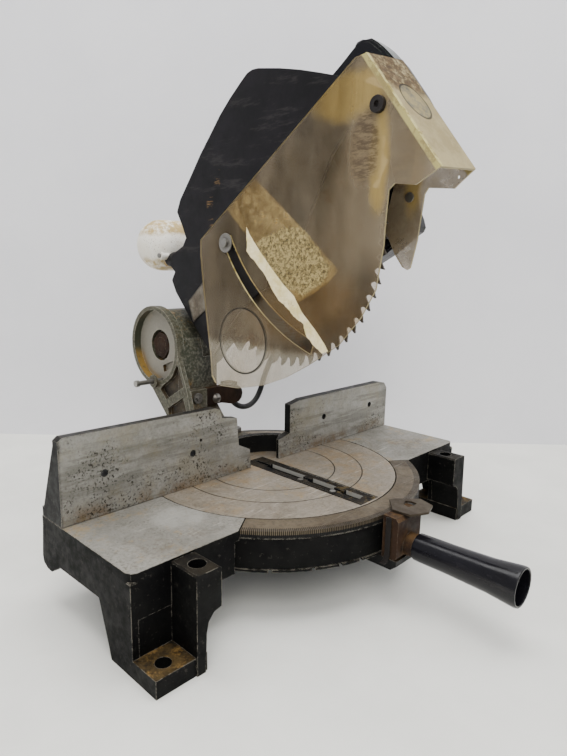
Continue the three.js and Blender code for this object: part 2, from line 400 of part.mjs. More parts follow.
// ---------------------------------------------------------------- motor
{
  const gearHull = hull2([[ARB[0], ARB[1], 42.5], [MOT[0], MOT[1], MOT_R]], 28);
  let m = prism('x', gearHull, 58.3, 62.5);
  m = m.add(cyl('x', MOT, MOT_R, 62, 176, 32));
  m = m.subtract(cyl('x', MOT, MOT_R - 4, 66, 180, 32));
  m = m.subtract(cyl('x', MOT, 6.5, 50, 70, 16));
  m = m.subtract(cyl('x', ARB, 9, 50, 70, 16));
  for (const s of [-1, 1]) m = m.subtract(cyl('y', [160, MOT[1]], 7, MOT[0] + s * 48 - 8, MOT[0] + s * 48 + 8, 16));
  // air slots round the barrel
  for (let k = 0; k < 5; k++) m = m.subtract(box(80 + 12 * k, 85 + 12 * k, MOT[0] - 60, MOT[0] - 20, 335, 365));
  m = m.subtract(cyl('z', [110, 45], 5, 300, 320, 14));
  put('motor_housing', m, PLASTIC, 0.4, 0.1);
  let e = lathe('x', MOT, [[0, 198], [36, 198], [45, 194], [48, 187], [48, 176.3], [44, 176.3], [43, 186], [34, 193], [0, 193]], 28);
  e = e.add(cyl('x', MOT, 11, 184, 194, 20)).subtract(cyl('x', MOT, 6.5, 180, 190, 16));
  for (let k = 0; k < 6; k++) {
    const g = new THREE.BoxGeometry(12, 4, 15);
    g.translate(194, 0, 25);
    g.rotateX((k * Math.PI) / 3 + 0.2);
    g.translate(0, MOT[0], MOT[1]);
    e = e.subtract(solid(g));
  }
  put('motor_end_cap', e, PLASTIC, 0.45, 0.1);
  for (const s of [-1, 1]) {
    const y0 = MOT[0] + s * 48;
    const a = s > 0 ? [y0 - 7, y0 + 3.5] : [y0 - 3.5, y0 + 7];
    const f = s > 0 ? [y0 + 0.5, y0 + 3.5] : [y0 - 3.5, y0 - 0.5];
    let b = cyl('y', [160, MOT[1]], 6.6, a[0], a[1], 16).add(cyl('y', [160, MOT[1]], 8.5, f[0], f[1], 18));
    put(s > 0 ? 'brush_cap_rear' : 'brush_cap_front', b, '#1a1a1c', 0.5, 0);
  }
  put('motor_stator', cyl('x', MOT, 43.3, 88, 140, 24).subtract(cyl('x', MOT, 28, 80, 150, 24)), '#5b5148', 0.6, 0.5);
  put('armature', lathe('x', MOT, [[0, 46], [8.7, 46], [8.7, 57], [5.5, 57.5], [5.5, 90], [27, 90], [27, 138], [16, 140], [16, 168], [5.5, 169], [5.5, 189], [0, 189]], 16), '#8a5a3c', 0.5, 0.7);
  put('motor_fan', cyl('x', MOT, 41, 70, 80, 28).subtract(cyl('x', MOT, 5.8, 60, 90, 16)), '#1c1c1e', 0.5, 0);
  put('lead_strain_relief', lathe('z', [110, 45], [[3.95, 262], [4.8, 262], [7, 292], [8.5, 296], [8.5, 300.6], [4.7, 301], [4.7, 312], [3.95, 312], [3.95, 262]], 14), '#161616', 0.7, 0);
}
// ---------------------------------------------------------------- D handle, trigger, lock-off button
{
  const outer = [[-40.8, 489.5], [-52.5, 497.6], [-70.5, 511.2], [-79, 514], [-87, 513.6], [-94.5, 508.6], [-100.8, 503.5], [-107, 497.6], [-118.5, 486], [-130.2, 471], [-141.7, 456.2], [-150.5, 443], [-154.6, 433], [-153.5, 421], [-146, 404], [-138, 388], [-134.6, 375], [-137.5, 362], [-144, 349], [-146.6, 341], [-144.5, 336.4], [-138.2, 332.6], [-127, 324], [-115.7, 315.8], [-100, 307], [-88, 301.5], [-66, 300], [-30, 300], [10, 320], [20, 360], [30, 402], [0, 440]].reverse();
  const finger = [[-56, 478], [-74, 487], [-92, 480], [-108, 464], [-121, 446], [-125.5, 434], [-122, 420], [-113, 402], [-106, 387], [-103.5, 373], [-108, 354], [-106, 343], [-96, 335], [-78, 333], [-66, 352], [-48, 372], [-36, 392], [-30, 412], [-36, 442]].reverse();
  const gearKeep = hull2([[ARB[0], ARB[1], 42.9], [MOT[0], MOT[1], MOT_R + 0.4]], 28);
  const half = (a, b, edge) => {
    // body between a and b, its outer face chamfered
    const inset = (pts, d0) => { // move each vertex inward along its normal
      const n = pts.length;
      const d = THREE.ShapeUtils.area(pts.map((q) => ({ x: q[0], y: q[1] }))) > 0 ? d0 : -d0;
      return pts.map((p, i) => {
        const q = pts[(i + n - 1) % n], r = pts[(i + 1) % n];
        const u = [p[0] - q[0], p[1] - q[1]], v = [r[0] - p[0], r[1] - p[1]];
        const lu = Math.hypot(...u), lv = Math.hypot(...v);
        const nx = -(u[1] / lu + v[1] / lv), ny = u[0] / lu + v[0] / lv, l = Math.hypot(nx, ny) || 1;
        return [p[0] + (d * nx) / l, p[1] + (d * ny) / l];
      });
    };
    let m = prism('x', outer, a, b).subtract(prism('x', finger, a - 1, b + 1));
    const oi = inset(outer, 4), fi = inset(finger, -4);
    // two-step edge: full outline inside, smaller outline at the outer face
    const full = prism('x', outer, edge > 0 ? a : a + 5, edge > 0 ? b - 5 : b).subtract(prism('x', finger, a - 1, b + 1));
    const small = prism('x', oi, a, b).subtract(prism('x', fi, a - 1, b + 1));
    const om = inset(outer, 1.3), fm = inset(finger, -1.3);
    const mid = prism('x', om, edge > 0 ? a : a + 2.2, edge > 0 ? b - 2.2 : b).subtract(prism('x', fm, a - 1, b + 1));
    m = full.add(mid).add(small);
    m = m.subtract(prism('x', gearKeep, 41, 62.9)).subtract(cyl('x', MOT, MOT_R + 0.4, 41, 100, 32));
    m = m.subtract(cyl('x', ARB, 28.4, 30, 60, 28));
    return m;
  };
  const pocket = prism('x', [[-106, 452], [-135.5, 447], [-135.5, 408], [-98, 398]].reverse(), 50.5, 63.5);
  const btn = box(52.5, 61.5, -76.5, -63.5, 493, 530);
  const left = half(43, 56.85, -1).subtract(pocket).subtract(btn);
  const right = half(57.15, 71, 1).subtract(pocket).subtract(btn);
  put('handle_left_shell', left, '#2a2638', 0.25, 0);
  put('handle_right_shell', right, '#2a2638', 0.25, 0);
  put('trigger', prism('x', [[-114, 446], [-128.5, 443.5], [-128.5, 411], [-108, 404], [-103.5, 412], [-107, 428]].reverse(), 51, 63), '#1b1b1f', 0.5, 0);
  put('lock_off_button', prism('x', [[-64, 500], [-64, 513.4], [-66.4, 516], [-72.6, 517], [-76, 516.2], [-76, 500]].reverse(), 52.8, 61.2), '#1d1d20', 0.6, 0);
}
// ---------------------------------------------------------------- clear guard
{
  const left = [[91.3, 329], [91.5, 312.4], [86.5, 273.2], [74.5, 199.4], [72.2, 176], [66, 168.5], [55, 166.4], [25.9, 168.4], [-13.7, 178.2], [-45, 191], [-76.1, 208.3], [-112.3, 232], [-135.9, 258.9], [-150.5, 284.3], [-156.3, 322.2], [-156.5, 334.5], [-158.4, 366.6], [-163.9, 371.3], [-183.8, 368.7], [-204.6, 380.3], [-128.7, 476.2], [-118.5, 475.4]].reverse();
  const deg = (a) => (a * Math.PI) / 180;
  const slot = [];
  for (let i = 0; i <= 14; i++) { const a = deg(-28.4 - (44.2 * i) / 14); slot.push([GP[0] + (SLOT_R + SLOT_W) * Math.cos(a), GP[1] + (SLOT_R + SLOT_W) * Math.sin(a)]); }
  for (let i = 14; i >= 0; i--) { const a = deg(-28.4 - (44.2 * i) / 14); slot.push([GP[0] + (SLOT_R - SLOT_W) * Math.cos(a), GP[1] + (SLOT_R - SLOT_W) * Math.sin(a)]); }
  let m = prism('x', left, -16.5, -14.5).subtract(prism('x', slot, -20, -10));
  // front panel, its right edge a little further out and up than its left one
  const q0 = [[-129.5, 476.8], [-205.4, 380.8], [-203.8, 379.6], [-127.9, 475.6]];
  const q1 = [[-128.2, 484.5], [-205.8, 385.4], [-204.2, 384.2], [-126.6, 483.3]];
  const pv = [], pi = [];
  for (const [x, q] of [[-16.5, q0], [40.1, q1]]) for (const c of q) pv.push(x, c[0], c[1]);
  pi.push(0, 2, 1, 0, 3, 2, 4, 5, 6, 4, 6, 7);
  for (let e = 0; e < 4; e++) { const f = (e + 1) % 4; pi.push(e, 4 + f, 4 + e, e, f, 4 + f); }
  const pg = new THREE.BufferGeometry();
  pg.setAttribute('position', new THREE.Float32BufferAttribute(pv, 3));
  pg.setIndex(pi);
  m = m.add(solid(pg));
  const right = [[-127.4, 483.8], [-204.9, 384.7], [-194, 376], [-188, 370.8], [-163, 373.2], [-159.5, 368], [-158, 355], [-155, 328], [-149.4, 303.3], [-146.3, 301.4], [-140.7, 304], [-132.3, 315], [-118.3, 340], [-127.9, 380], [-110, 440], [-113, 470]];
  m = m.add(prism('x', right, 38.1, 40.1));
  m = m.subtract(cyl('x', GP, 3.6, -30, 50, 16));
  m = m.subtract(cyl('x', [-145, 366], 2.6, 30, 50, 12));
  m = m.subtract(cyl('x', [-191.5, 380], 1.5, 30, 50, 10));
  put('guard_shell', m, '#c9bfa5', 0.2, 0);
  put('guard_rivet', uni(cyl('x', [-145, 366], 2.3, 36.6, 41.2, 12), cyl('x', [-145, 366], 4.6, 40.4, 41.6, 16), cyl('x', [-145, 366], 4.6, 36.6, 37.8, 16)), STEEL, 0.4, 0.9);
  put('guard_pivot_screw', uni(cyl('x', GP, 3, -18, 42.4, 14), cyl('x', GP, 7, -21, -16.8, 20), cyl('x', GP, 6, 40.4, 42.4, 18)).subtract(hex('x', GP, 5, -22, -18.5)), '#1d1d1f', 0.4, 0.7);
  put('guard_stop_pin', uni(cyl('x', [46.4, 325.3], 2.1, -18, -4.5, 12), cyl('x', [46.4, 325.3], 4, -17.5, -10.9, 16), cyl('x', [46.4, 325.3], 10.2, -18.3, -16.8, 26), cyl('x', [46.4, 325.3], 5, -21.4, -18, 18)), '#a8a8a6', 0.3, 0.9);
}
// ---------------------------------------------------------------- blade and its drive
{
  const pts = [];
  for (let k = 0; k < TEETH; k++) {
    const a = (2 * Math.PI * k) / TEETH;
    const s = (r, f) => pts.push([ARB[0] + r * Math.cos(a + f), ARB[1] + r * Math.sin(a + f)]);
    s(BLADE_R - 8.5, 0.012);
    s(BLADE_R - 1.6, 0.058);
    s(BLADE_R, 0.09);
  }
  put('saw_blade', prism('x', pts, -BLADE_T / 2, BLADE_T / 2).subtract(cyl('x', ARB, 8.1, -5, 5, 24)), '#8f8a82', 0.3, 0.95);
  put('outer_flange', cyl('x', ARB, 22, -5.6, -1.4, 28).subtract(cyl('x', ARB, 8.1, -8, 8, 24)), STEEL, 0.35, 0.9);
  put('inner_flange', cyl('x', ARB, 22, 1.4, 8, 28).subtract(cyl('x', ARB, 8.1, -8, 10, 24)), STEEL, 0.35, 0.9);
  put('arbor_shaft', cyl('x', ARB, 7.8, -5, 62, 24).subtract(cyl('x', ARB, 4.3, -10, 14, 14)), STEEL, 0.35, 0.9);
  put('arbor_bolt', uni(cyl('x', ARB, 4, -8, 13, 14), hex('x', ARB, 15, -12.2, -6), cyl('x', ARB, 11, -7.4, -5.9, 20)), STEEL, 0.35, 0.9);
  put('driven_gear', cyl('x', ARB, 39.4, 47, 56.5, 38).subtract(cyl('x', ARB, 8.1, 40, 60, 24)), STEEL, 0.35, 0.9);
}
// ---------------------------------------------------------------- mains lead
{
  // loop from the motor's strain relief to the clamp on the bar
  put('lead_loop', tube(LOOP, CORD_R, 8, 24), '#141414', 0.6, 0);
  // from the clamp down to the bench behind the saw
  put('lead_drop', tube(DROP, CORD_R, 8, 22), '#141414', 0.6, 0);
  // the rest of the lead, wound into a round coil that lies on the bench
  put('lead_coil', lathe('z', COIL, [[COIL_R - 11.1, 0], [COIL_R + 11.1, 0], [COIL_R + 11.1, 22.2], [COIL_R - 11.1, 22.2], [COIL_R - 11.1, 0]], 28), '#141414', 0.6, 0);
  // two-pin plug beside the coil
  const px = COIL[0] - 48.9;
  let plug = lathe('y', [px, 7.6], [[0, 210.8], [5, 210.8], [6.8, 190], [7.2, 182], [0, 182]], 12);
  plug = plug.add(prism('y', [[px - 12, 3], [px - 9, 0.2], [px + 9, 0.2], [px + 12, 3], [px + 12, 12], [px + 9, 15], [px - 9, 15], [px - 12, 12]].reverse(), 150, 183));
  for (const d of [-9.5, 9.5]) plug = plug.add(cyl('y', [px + d, 7.6], 2.2, 132, 151, 10));
  put('mains_plug', plug, '#161618', 0.5, 0);
}
export default group;
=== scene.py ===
import json
import math
import random

import bmesh
import bpy
from mathutils import Euler, Matrix, Vector

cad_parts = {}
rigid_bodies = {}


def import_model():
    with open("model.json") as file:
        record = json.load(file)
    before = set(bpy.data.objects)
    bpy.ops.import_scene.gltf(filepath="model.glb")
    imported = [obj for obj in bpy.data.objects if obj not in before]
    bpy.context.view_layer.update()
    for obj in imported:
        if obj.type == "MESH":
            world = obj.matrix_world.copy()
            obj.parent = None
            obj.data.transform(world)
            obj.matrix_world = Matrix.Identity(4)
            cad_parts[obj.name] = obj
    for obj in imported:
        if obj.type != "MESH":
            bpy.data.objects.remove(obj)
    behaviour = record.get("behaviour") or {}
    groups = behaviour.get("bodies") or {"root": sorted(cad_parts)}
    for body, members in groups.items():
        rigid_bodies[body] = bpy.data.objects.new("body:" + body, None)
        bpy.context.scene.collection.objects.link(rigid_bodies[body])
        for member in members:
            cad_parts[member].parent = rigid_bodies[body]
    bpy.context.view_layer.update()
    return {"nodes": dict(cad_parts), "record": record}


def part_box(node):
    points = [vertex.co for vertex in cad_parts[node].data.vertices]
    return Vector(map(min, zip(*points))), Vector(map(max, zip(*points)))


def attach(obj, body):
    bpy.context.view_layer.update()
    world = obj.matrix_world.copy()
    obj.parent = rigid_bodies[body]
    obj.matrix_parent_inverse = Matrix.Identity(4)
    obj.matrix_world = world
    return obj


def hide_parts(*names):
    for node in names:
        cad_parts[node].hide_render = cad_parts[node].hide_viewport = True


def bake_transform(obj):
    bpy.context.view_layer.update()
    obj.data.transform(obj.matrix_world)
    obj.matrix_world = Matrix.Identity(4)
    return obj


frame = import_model()
N = frame["nodes"]
SY = 22.0                       # the CAD's shift along Y, in mm


def V(x, y, z):
    """A point of the part's source, in mm, as a point of the row frame, in metres."""
    return Vector((x / 1000.0, (y + SY) / 1000.0, z / 1000.0))


# ------------------------------------------------------------------ camera
cam_data = bpy.data.cameras.new("photo_camera")
cam = bpy.data.objects.new("photo_camera", cam_data)
bpy.context.scene.collection.objects.link(cam)
bpy.context.scene.camera = cam
YAW, PITCH, ROLL = math.radians(46.22), math.radians(11.28), math.radians(1.14)
f_ = Vector((math.sin(YAW) * math.cos(PITCH), math.cos(YAW) * math.cos(PITCH), -math.sin(PITCH)))
r0 = Vector((math.cos(YAW), -math.sin(YAW), 0))
u0 = r0.cross(f_)
r_ = math.cos(ROLL) * r0 + math.sin(ROLL) * u0
u_ = -math.sin(ROLL) * r0 + math.cos(ROLL) * u0
m3 = Matrix((r_, u_, -f_)).transposed()
cam.matrix_world = Matrix.Translation(V(-436.44, -445.49, 306.63)) @ m3.to_4x4()
cam_data.sensor_fit = "AUTO"
cam_data.sensor_width = 36.0
cam_data.lens = 582.61 * 36.0 / 756.0
cam_data.clip_start = 0.01

# ------------------------------------------------------------------ cords
LOOP = [(110, 45, 261.7), (110.2, 46, 250), (111.5, 56, 236), (114, 73, 219), (116.5, 91, 202), (118.5, 106, 184), (119, 117, 165), (117.3, 123.5, 147),
        (112.4, 125.3, 130.5), (104.6, 125.4, 119.6), (94, 125.2, 113.4), (81.5, 125, 112.6), (70, 125, 116.8), (61.8, 125, 123.4), (58, 125, 128.5), (57.5, 125, 131.4)]
DROP = [(57.5, 134.3, 137.5), (57.5, 146, 137.2), (58, 158, 131.5), (59, 167, 119), (60.5, 173, 101), (62, 177, 82),
        (64, 181, 63), (66, 186, 45.5), (67.8, 193.5, 31), (68.6, 203, 22), (68.9, 212.2, 18.6)]
COIL = (20.0, 240.0)
CORD_D = 0.0074


def catmull(pts, per=8):
    """Points on a smooth curve through pts (centripetal Catmull-Rom)."""
    p = [Vector(q) for q in pts]
    p = [p[0] * 2 - p[1]] + p + [p[-1] * 2 - p[-2]]
    out = []
    for i in range(1, len(p) - 2):
        a, b, c, d = p[i - 1], p[i], p[i + 1], p[i + 2]
        t0 = 0.0
        t1 = t0 + max((b - a).length, 1e-6) ** 0.5
        t2 = t1 + max((c - b).length, 1e-6) ** 0.5
        t3 = t2 + max((d - c).length, 1e-6) ** 0.5
        for k in range(per):
            t = t1 + (t2 - t1) * k / per
            a1 = a * ((t1 - t) / (t1 - t0)) + b * ((t - t0) / (t1 - t0))
            a2 = b * ((t2 - t) / (t2 - t1)) + c * ((t - t1) / (t2 - t1))
            a3 = c * ((t3 - t) / (t3 - t2)) + d * ((t - t2) / (t3 - t2))
            b1 = a1 * ((t2 - t) / (t2 - t0)) + a2 * ((t - t0) / (t2 - t0))
            b2 = a2 * ((t3 - t) / (t3 - t1)) + a3 * ((t - t1) / (t3 - t1))
            out.append(b1 * ((t2 - t) / (t2 - t1)) + b2 * ((t - t1) / (t2 - t1)))
    out.append(p[-2].copy())
    return out


def tube_mesh(name, path, radius, sides=12, caps=True):
    """A round tube mesh along path (metres), with frames carried along it."""
    bm = bmesh.new()
    rings = []
    t = (path[1] - path[0]).normalized()
    n = t.orthogonal().normalized()
    for i, p in enumerate(path):
        a = path[max(i - 1, 0)]
        b = path[min(i + 1, len(path) - 1)]
        t2 = (b - a).normalized()
        n = (n - t2 * n.dot(t2)).normalized()
        w = t2.cross(n)
        r = radius(i / (len(path) - 1)) if callable(radius) else radius
        rings.append([bm.verts.new(p + (n * math.cos(2 * math.pi * k / sides) + w * math.sin(2 * math.pi * k / sides)) * r)
                      for k in range(sides)])
    for a, b in zip(rings, rings[1:]):
        for k in range(sides):
            bm.faces.new((a[k], a[(k + 1) % sides], b[(k + 1) % sides], b[k]))
    if caps:
        bm.faces.new(list(reversed(rings[0])))
        bm.faces.new(rings[-1])
    bmesh.ops.recalc_face_normals(bm, faces=bm.faces)
    me = bpy.data.meshes.new(name)
    bm.to_mesh(me)
    bm.free()
    for f in me.polygons:
        f.use_smooth = True
    o = bpy.data.objects.new(name, me)
    bpy.context.scene.collection.objects.link(o)
    return o


def path_len(p):
    return sum((b - a).length for a, b in zip(p, p[1:]))


loop_path = catmull([V(*q) for q in LOOP], 8)
lead_loop = tube_mesh("lead_loop_cord", loop_path, CORD_D / 2, 14)
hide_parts("lead_loop")

# the wound lead: in on the top outer turn, inward, down, outward, down to the bottom outer turn, then to the plug
coil_pts = []
R_OUT, R_MID, R_IN = 48.9, 41.5, 34.1
Z_TOP, Z_MID, Z_LOW = 18.5, 11.1, 3.7
plan = [(R_OUT, Z_TOP), (R_MID, Z_TOP), (R_IN, Z_TOP), (R_IN, Z_MID), (R_MID, Z_MID), (R_OUT, Z_MID), (R_OUT, Z_LOW)]
STEP = 24
turns = len(plan)
for t in range(turns):
    a = plan[t]
    b = plan[t + 1] if t + 1 < turns else plan[t]
    for k in range(STEP):
        if t == 0 and k < 2:
            continue
        s = k / STEP
        w = min(max((s - 0.8) / 0.2, 0), 1)
        w = w * w * (3 - 2 * w)
        r = a[0] + (b[0] - a[0]) * w
        z = a[1] + (b[1] - a[1]) * w
        th = 2 * math.pi * s
        coil_pts.append((COIL[0] + r * math.cos(th), COIL[1] + r * math.sin(th), z))
for k in range(0, STEP // 2 + 1):
    th = 2 * math.pi * k / STEP
    if k <= STEP // 2 - 2:
        coil_pts.append((COIL[0] + R_OUT * math.cos(th), COIL[1] + R_OUT * math.sin(th), Z_LOW + 0.0))
tail = [(COIL[0] - 48.5, COIL[1] + 6, 3.9), (COIL[0] - 48.9, COIL[1] - 8, 4.6), (COIL[0] - 48.9, COIL[1] - 20, 6.6), (COIL[0] - 48.9, COIL[1] - 29.0, 7.6)]
main_pts = list(DROP) + [(68.6, 222.5, 18.5), (68.0, 232.0, 18.5)] + coil_pts + tail
main_path = catmull([V(*q) for q in main_pts], 3)
lead_main = tube_mesh("mains_lead_cord", main_path, CORD_D / 2, 12)
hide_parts("lead_drop", "lead_coil")



# ------------------------------------------------------------------ node material kit
class G:
    """A small helper round one material's node tree."""

    def __init__(self, name):
        self.m = bpy.data.materials.new(name)
        self.m.use_nodes = True
        self.t = self.m.node_tree
        self.bsdf = self.t.nodes["Principled BSDF"]
        self.out = self.t.nodes["Material Output"]
        self.co = self.t.nodes.new("ShaderNodeTexCoord").outputs["Object"]

    def node(self, kind, **props):
        n = self.t.nodes.new(kind)
        for k, v in props.items():
            setattr(n, k, v)
        return n

    def put(self, sock, v):
        if isinstance(v, bpy.types.NodeSocket):
            self.t.links.new(v, sock)
        elif isinstance(v, (tuple, list)) and len(v) == 3 and sock.type == "RGBA":
            sock.default_value = (*v, 1.0)
        else:
            sock.default_value = v

    def mapped(self, scale=(1, 1, 1), rot=(0, 0, 0), loc=(0, 0, 0), src=None):
        n = self.node("ShaderNodeMapping")
        self.put(n.inputs["Vector"], src or self.co)
        n.inputs["Scale"].default_value = scale
        n.inputs["Rotation"].default_value = rot
        n.inputs["Location"].default_value = loc
        return n.outputs["Vector"]

    def noise(self, scale, detail=4.0, rough=0.6, dist=0.0, vec=None, w=None):
        n = self.node("ShaderNodeTexNoise")
        if w is not None:
            n.noise_dimensions = "4D"
            n.inputs["W"].default_value = w
        self.put(n.inputs["Vector"], vec or self.co)
        n.inputs["Scale"].default_value = scale
        n.inputs["Detail"].default_value = detail
        n.inputs["Roughness"].default_value = rough
        n.inputs["Distortion"].default_value = dist
        return n.outputs["Fac"]

    def voronoi(self, scale, vec=None, feature="F1", rand=1.0):
        n = self.node("ShaderNodeTexVoronoi")
        n.feature = feature
        self.put(n.inputs["Vector"], vec or self.co)
        n.inputs["Scale"].default_value = scale
        n.inputs["Randomness"].default_value = rand
        return n.outputs["Distance"]

    def step(self, v, lo, hi, a=0.0, b=1.0):
        n = self.node("ShaderNodeMapRange")
        n.interpolation_type = "SMOOTHSTEP"
        self.put(n.inputs["Value"], v)
        n.inputs["From Min"].default_value = lo
        n.inputs["From Max"].default_value = hi
        n.inputs["To Min"].default_value = a
        n.inputs["To Max"].default_value = b
        return n.outputs["Result"]

    def math(self, op, a, b=None, c=None, clamp=False):
        n = self.node("ShaderNodeMath", operation=op, use_clamp=clamp)
        self.put(n.inputs[0], a)
        if b is not None:
            self.put(n.inputs[1], b)
        if c is not None:
            self.put(n.inputs[2], c)
        return n.outputs[0]

    def mul(self, *v):
        r = v[0]
        for x in v[1:]:
            r = self.math("MULTIPLY", r, x)
        return r

    def mx(self, *v):
        r = v[0]
        for x in v[1:]:
            r = self.math("MAXIMUM", r, x)
        return r

    def mix(self, f, a, b, blend="MIX"):
        n = self.node("ShaderNodeMix", data_type="RGBA", blend_type=blend)
        self.put(n.inputs["Factor"], f)
        self.put(n.inputs[6], a)
        self.put(n.inputs[7], b)
        return n.outputs[2]

    def mixf(self, f, a, b):
        n = self.node("ShaderNodeMix", data_type="FLOAT")
        self.put(n.inputs["Factor"], f)
        self.put(n.inputs[2], a)
        self.put(n.inputs[3], b)
        return n.outputs[0]

    def xyz(self, src=None):
        n = self.node("ShaderNodeSeparateXYZ")
        self.put(n.inputs[0], src or self.co)
        return n.outputs[0], n.outputs[1], n.outputs[2]

    def normal(self):
        return self.node("ShaderNodeNewGeometry").outputs["Normal"]

    def edge(self, radius, lo=0.02, hi=0.25):
        """1 near a mesh edge: where a rounded normal leaves the face's own."""
        b = self.node("ShaderNodeBevel", samples=4)
        b.inputs["Radius"].default_value = radius
        d = self.node("ShaderNodeVectorMath", operation="DOT_PRODUCT")
        g = self.node("ShaderNodeNewGeometry")
        self.put(d.inputs[0], b.outputs["Normal"])
        self.put(d.inputs[1], g.outputs["Normal"])
        return self.step(self.math("SUBTRACT", 1.0, d.outputs["Value"]), lo, hi)

    def ao(self, dist, lo=0.35, hi=0.95):
        """1 in corners and pockets."""
        n = self.node("ShaderNodeAmbientOcclusion", samples=6)
        n.inputs["Distance"].default_value = dist
        return self.step(n.outputs["AO"], lo, hi, 1.0, 0.0)

    def up(self, lo=0.5, hi=0.95):
        x, y, z = self.xyz(self.normal())
        return self.step(z, lo, hi)

    def bump(self, h, strength, dist=0.001, prev=None):
        n = self.node("ShaderNodeBump")
        n.inputs["Strength"].default_value = strength
        n.inputs["Distance"].default_value = dist
        self.put(n.inputs["Height"], h)
        if prev is not None:
            self.put(n.inputs["Normal"], prev)
        return n.outputs["Normal"]

    def done(self, color=None, rough=None, metal=None, normal=None, **other):
        for k, v in (("Base Color", color), ("Roughness", rough), ("Metallic", metal), ("Normal", normal)):
            if v is not None:
                self.put(self.bsdf.inputs[k], v)
        for k, v in other.items():
            self.put(self.bsdf.inputs[k.replace("_", " ")], v)
        return self.m


def srgb(h):
    """Linear colour of an sRGB hex string."""
    h = h.lstrip("#")
    c = [int(h[i:i + 2], 16) / 255 for i in (0, 2, 4)]
    return tuple(x / 12.92 if x <= 0.04045 else ((x + 0.055) / 1.055) ** 2.4 for x in c)


def give(mat, *names):
    for n in names:
        o = N[n] if n in N else bpy.data.objects[n]
        o.data.materials.clear()
        o.data.materials.append(mat)


def painted(name, c1, c2, rough=(0.4, 0.6), metal=0.0, chip=None, chip_amt=0.5, dust=None, dust_amt=0.4, scale=30.0, corner_shade_color="#15120f", corner_shade_amt=0.6, bumpy=0.15, edge_r=0.0012, chip_lo=0.52):
    g = G(name)
    a = g.noise(scale, 5, 0.65)
    col = g.mix(g.step(a, 0.35, 0.65), srgb(c1), srgb(c2))
    fine = g.noise(scale * 14, 3, 0.7)
    col = g.mix(g.mul(g.step(fine, 0.45, 0.7), 0.25), col, srgb(c2))
    ro = g.step(g.noise(scale * 3, 4, 0.7), 0.3, 0.7, rough[0], rough[1])
    me = metal
    if dust:
        d = g.mul(g.up(0.3, 0.95), g.step(g.noise(scale * 2.2, 6, 0.7), 0.38, 0.62), dust_amt)
        d2 = g.mul(g.ao(0.012), g.step(g.noise(scale * 5, 4, 0.7), 0.4, 0.65), dust_amt)
        d = g.mx(d, d2)
        col = g.mix(d, col, srgb(dust))
        ro = g.mixf(d, ro, 0.85)
    # painted shade: a near-black tone laid into corners and creases through an ambient-occlusion mask
    if corner_shade_amt:
        col = g.mix(g.mul(g.ao(0.006), corner_shade_amt), col, srgb(corner_shade_color))
    if chip:
        e = g.mul(g.edge(edge_r), g.step(g.noise(scale * 6, 5, 0.75), chip_lo - 0.08, chip_lo + 0.06))
        sp = g.step(g.noise(scale * 9, 4, 0.8, w=3.0), 0.70, 0.73)
        e = g.math("MULTIPLY", g.mx(e, g.mul(sp, 0.8)), chip_amt, clamp=True)
        col = g.mix(e, col, srgb(chip))
        ro = g.mixf(e, ro, 0.35)
        me = g.mixf(e, metal, 0.85)
    nb = g.bump(g.noise(scale * 22, 3, 0.6), bumpy, 0.0004)
    return g.done(col, ro, me, nb)


def metal_worn(name, c1, c2, stain=None, stain_amt=0.5, rough=(0.3, 0.5), scale=25.0, pits=0.3, brushed=None, metal=0.9, corner_shade_color="#1d1813", corner_shade_amt=0.6):
    g = G(name)
    a = g.noise(scale, 6, 0.7)
    col = g.mix(g.step(a, 0.3, 0.7), srgb(c1), srgb(c2))
    if brushed:
        v = g.mapped(scale=brushed)
        s = g.noise(1.0, 3, 0.6, vec=v)
        col = g.mix(g.mul(g.step(s, 0.3, 0.7), 0.35), col, srgb(c2))
    if stain:
        s = g.mul(g.step(g.noise(scale * 0.6, 7, 0.75, w=1.3), 0.48, 0.66), stain_amt)
        col = g.mix(s, col, srgb(stain))
    p = g.step(g.voronoi(scale * 18), 0.05, 0.14, 1.0, 0.0)
    pm = g.mul(p, g.step(g.noise(scale * 3, 3, 0.6, w=5.1), 0.5, 0.62), pits)
    col = g.mix(pm, col, srgb("#2a2420"))
    # painted shade: a near-black tone laid into corners and creases through an ambient-occlusion mask
    col = g.mix(g.mul(g.ao(0.005), corner_shade_amt), col, srgb(corner_shade_color))
    ro = g.step(g.noise(scale * 4, 4, 0.7), 0.3, 0.7, rough[0], rough[1])
    nb = g.bump(g.noise(scale * 25, 3, 0.6), 0.12, 0.0003)
    return g.done(col, ro, metal, nb)


